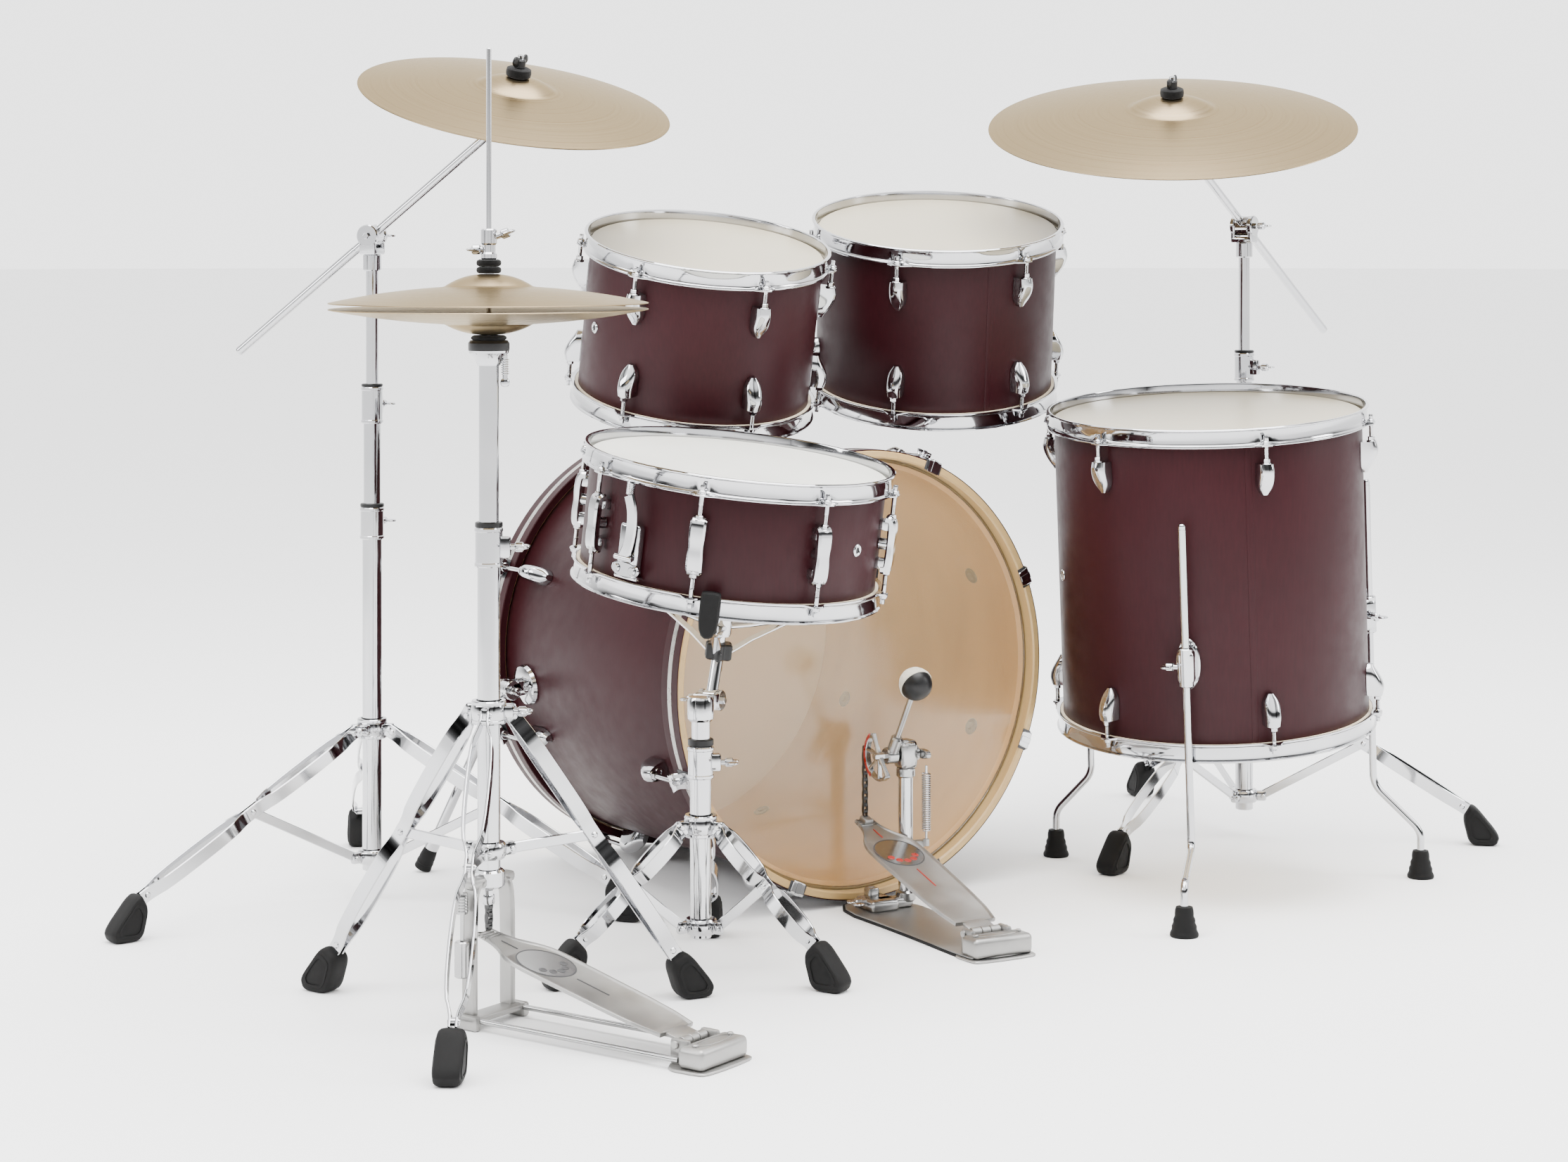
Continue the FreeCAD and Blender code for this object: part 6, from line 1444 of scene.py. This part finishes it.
    # the ball is plastic with a felt cap towards the head
    ballAt = centre + way * k["reach"]
    face = np.cross(way, floor[:3, 0])
    face = face if face @ floor[:3, 1] < 0 else -face
    ball = axes(ballAt, face, floor[:3, 0])
    t = np.linspace(0, np.pi, 20)
    shell = np.column_stack([np.sin(t) * 21.2, -np.cos(t) * 21.2])
    piece("kickBeaterBall", "kick_beater", blackPlastic, [lathe(shell, ball, 40)])
    cap = [(0, 21.9), (6, 21.2), (12, 18.4), (17, 13.6), (20, 8.2), (21.8, 2.0), (21.9, -1.6),
           (20.6, -2.2), (20.6, 2), (15, 9), (0, 12)]
    piece("kickBeaterFelt", "kick_beater", creamFelt, [lathe(cap, ball, 40)])
    chain = chainPart(point(floor, x, -36.6, k["toeZ"] + 5), point(floor, x, -36.6, axle + 6),
                      floor[:3, 0], 8.5, 6.6)
    piece("kickChain", "kick_chain", darkSteel, [chain], ["kick_chain"])
    # spring: close coils with straight ends drawn to a hook
    sx, sy = -42.0, 18.0
    low, high = point(floor, sx, sy, 104), point(floor, sx, sy, 178)
    spring = [coil(low, high, 5.2, 26, 1.1, 12)]
    for z0, z1 in ((92, 105), (177, 188)):
        spring.append(bar(point(floor, sx, sy, z0 + 0.4), point(floor, sx, sy, z1), 1.6, 0.4, 12))
    piece("kickSpring", "kit", springSteel, spring, ["kick_spring"])
    holderArm = [roundBlock((26, 12, 9), shifted(floor, k["postX"] - 10, 12, 87), 3),
                 hexNut(4.5, 84, 93, shifted(floor, sx, sy))]
    piece("kickSpringHolder", "kit", castMetal, holderArm)


makeKickPedal()
print("bass pedal made")

piece("rubberFeet", "kit", rubber, rubberFeet, ["rubber_feet"])


# room, lights and camera

# the sky is a run of heights and values, with a dark band above eye level that the chrome picks up
room = dict(floorRadius=60.0, camera=(2.3824, 3.4959, 0.8861), look=(-0.5703, -0.8214, 0.0),
            right=(-0.8214, 0.5703, 0.0),
            lens=70.7, sensor=36.0, shiftY=-0.22696, strength=1.0, backdrop=2.95,
            streaks=((0.0, 1.3), (0.10, 0.08), (0.17, 1.5), (0.5, 1.1), (0.74, 1.4), (0.80, 0.06),
                     (0.9, 1.4), (1.0, 1.0)),
            sky=((0.0, 1.6), (0.49, 1.9), (0.51, 1.2), (0.54, 0.35), (0.60, 0.05), (0.68, 0.12),
                 (0.75, 2.4), (1.0, 2.8)))


def makeRoom():
    # a floor disc whose rings grow with their distance
    ring = np.concatenate([[0.0], np.geomspace(0.5, room["floorRadius"], 24)])
    t = np.linspace(0, 2 * np.pi, 96, endpoint=False)
    grid = np.stack([np.outer(ring, np.cos(t)), np.outer(ring, np.sin(t)), np.zeros((25, 96))], -1)
    vertices, faces = skin(grid)
    mesh = bpy.data.meshes.new("floor")
    mesh.from_pydata(vertices.tolist(), [], faces[:, ::-1].tolist())
    form = bmesh.new()
    form.from_mesh(mesh)
    bmesh.ops.remove_doubles(form, verts=form.verts, dist=1e-5)
    form.to_mesh(mesh)
    form.free()
    floor = bpy.data.objects.new("floor", mesh)
    bpy.context.scene.collection.objects.link(floor)
    paper = finish("paper", (0.95, 0.95, 0.95), (0.935, 0.935, 0.935), 0.9, 0.6, 60, 0.02)
    mesh.materials.append(paper)
    world = bpy.data.worlds.new("studio")
    bpy.context.scene.world = world
    world.use_nodes = True
    tree = world.node_tree
    spot = nodeOf(tree, "ShaderNodeTexCoord").outputs["Generated"]
    height = nodeOf(tree, "ShaderNodeSeparateXYZ", {}, {"Vector": spot}).outputs["Z"]
    ramp = nodeOf(tree, "ShaderNodeValToRGB", {}, {"Fac": ranged(tree, height, 0, 1, -1.0, 1.0)})
    stops = ramp.color_ramp
    while len(stops.elements) < len(room["sky"]):
        stops.elements.new(0.5)
    for stop, (share, value) in zip(stops.elements, room["sky"]):
        stop.position, stop.color = share, (value, value, value, 1)
    # dark upright streaks at both sides of the camera, for the round tubes to pick up
    across = nodeOf(tree, "ShaderNodeVectorMath", {"operation": "DOT_PRODUCT"},
                    {0: spot, 1: room["right"]}).outputs["Value"]
    streaks = nodeOf(tree, "ShaderNodeValToRGB", {}, {"Fac": ranged(tree, across, 0, 1, -1.0, 1.0)})
    while len(streaks.color_ramp.elements) < len(room["streaks"]):
        streaks.color_ramp.elements.new(0.5)
    for stop, (share, value) in zip(streaks.color_ramp.elements, room["streaks"]):
        stop.position, stop.color = share, (value, value, value, 1)
    sky = nodeOf(tree, "ShaderNodeVectorMath", {"operation": "MULTIPLY"},
                 {0: ramp.outputs["Color"], 1: streaks.outputs["Color"]}).outputs["Vector"]
    ahead = nodeOf(tree, "ShaderNodeVectorMath", {"operation": "DOT_PRODUCT"},
                   {0: spot, 1: room["look"]}).outputs["Value"]
    backdrop = ranged(tree, ahead, 0.0, 1.0, 0.1, 0.75)
    white = (room["backdrop"],) * 3
    background = tree.nodes["Background"]
    tree.links.new(blended(tree, backdrop, sky, white), background.inputs["Color"])
    background.inputs["Strength"].default_value = room["strength"]


def softLight(name, where, aim, size, power):
    data = bpy.data.lights.new(name, "AREA")
    data.shape, data.size, data.size_y, data.energy = "RECTANGLE", size[0], size[1], power
    lamp = bpy.data.objects.new(name, data)
    bpy.context.scene.collection.objects.link(lamp)
    m = axes(where, np.array(where, float) - aim, (1, 0, 0.01))
    lamp.matrix_world = Matrix(m.tolist())
    return lamp


def makeCamera():
    data = bpy.data.cameras.new("camera")
    camera = bpy.data.objects.new("camera", data)
    bpy.context.scene.collection.objects.link(camera)
    data.sensor_width, data.lens, data.shift_y = room["sensor"], room["lens"], room["shiftY"]
    data.clip_end = 200
    m = axes(np.array(room["camera"]) + kit / 1000, -np.array(room["look"]),
             np.cross(up, -np.array(room["look"])))
    camera.matrix_world = Matrix(m.tolist())
    bpy.context.scene.camera = camera


makeRoom()
softLight("overhead", (0.3, 0.6, 3.4), (0, 0, 0.5), (3.4, 2.8), 290)
softLight("leftBox", (3.4, -0.6, 1.9), (0, 0, 0.6), (1.0, 2.4), 75)
softLight("rightBox", (-2.8, 2.4, 2.2), (0, 0, 0.5), (1.0, 2.4), 85)
makeCamera()
print("scene ready")
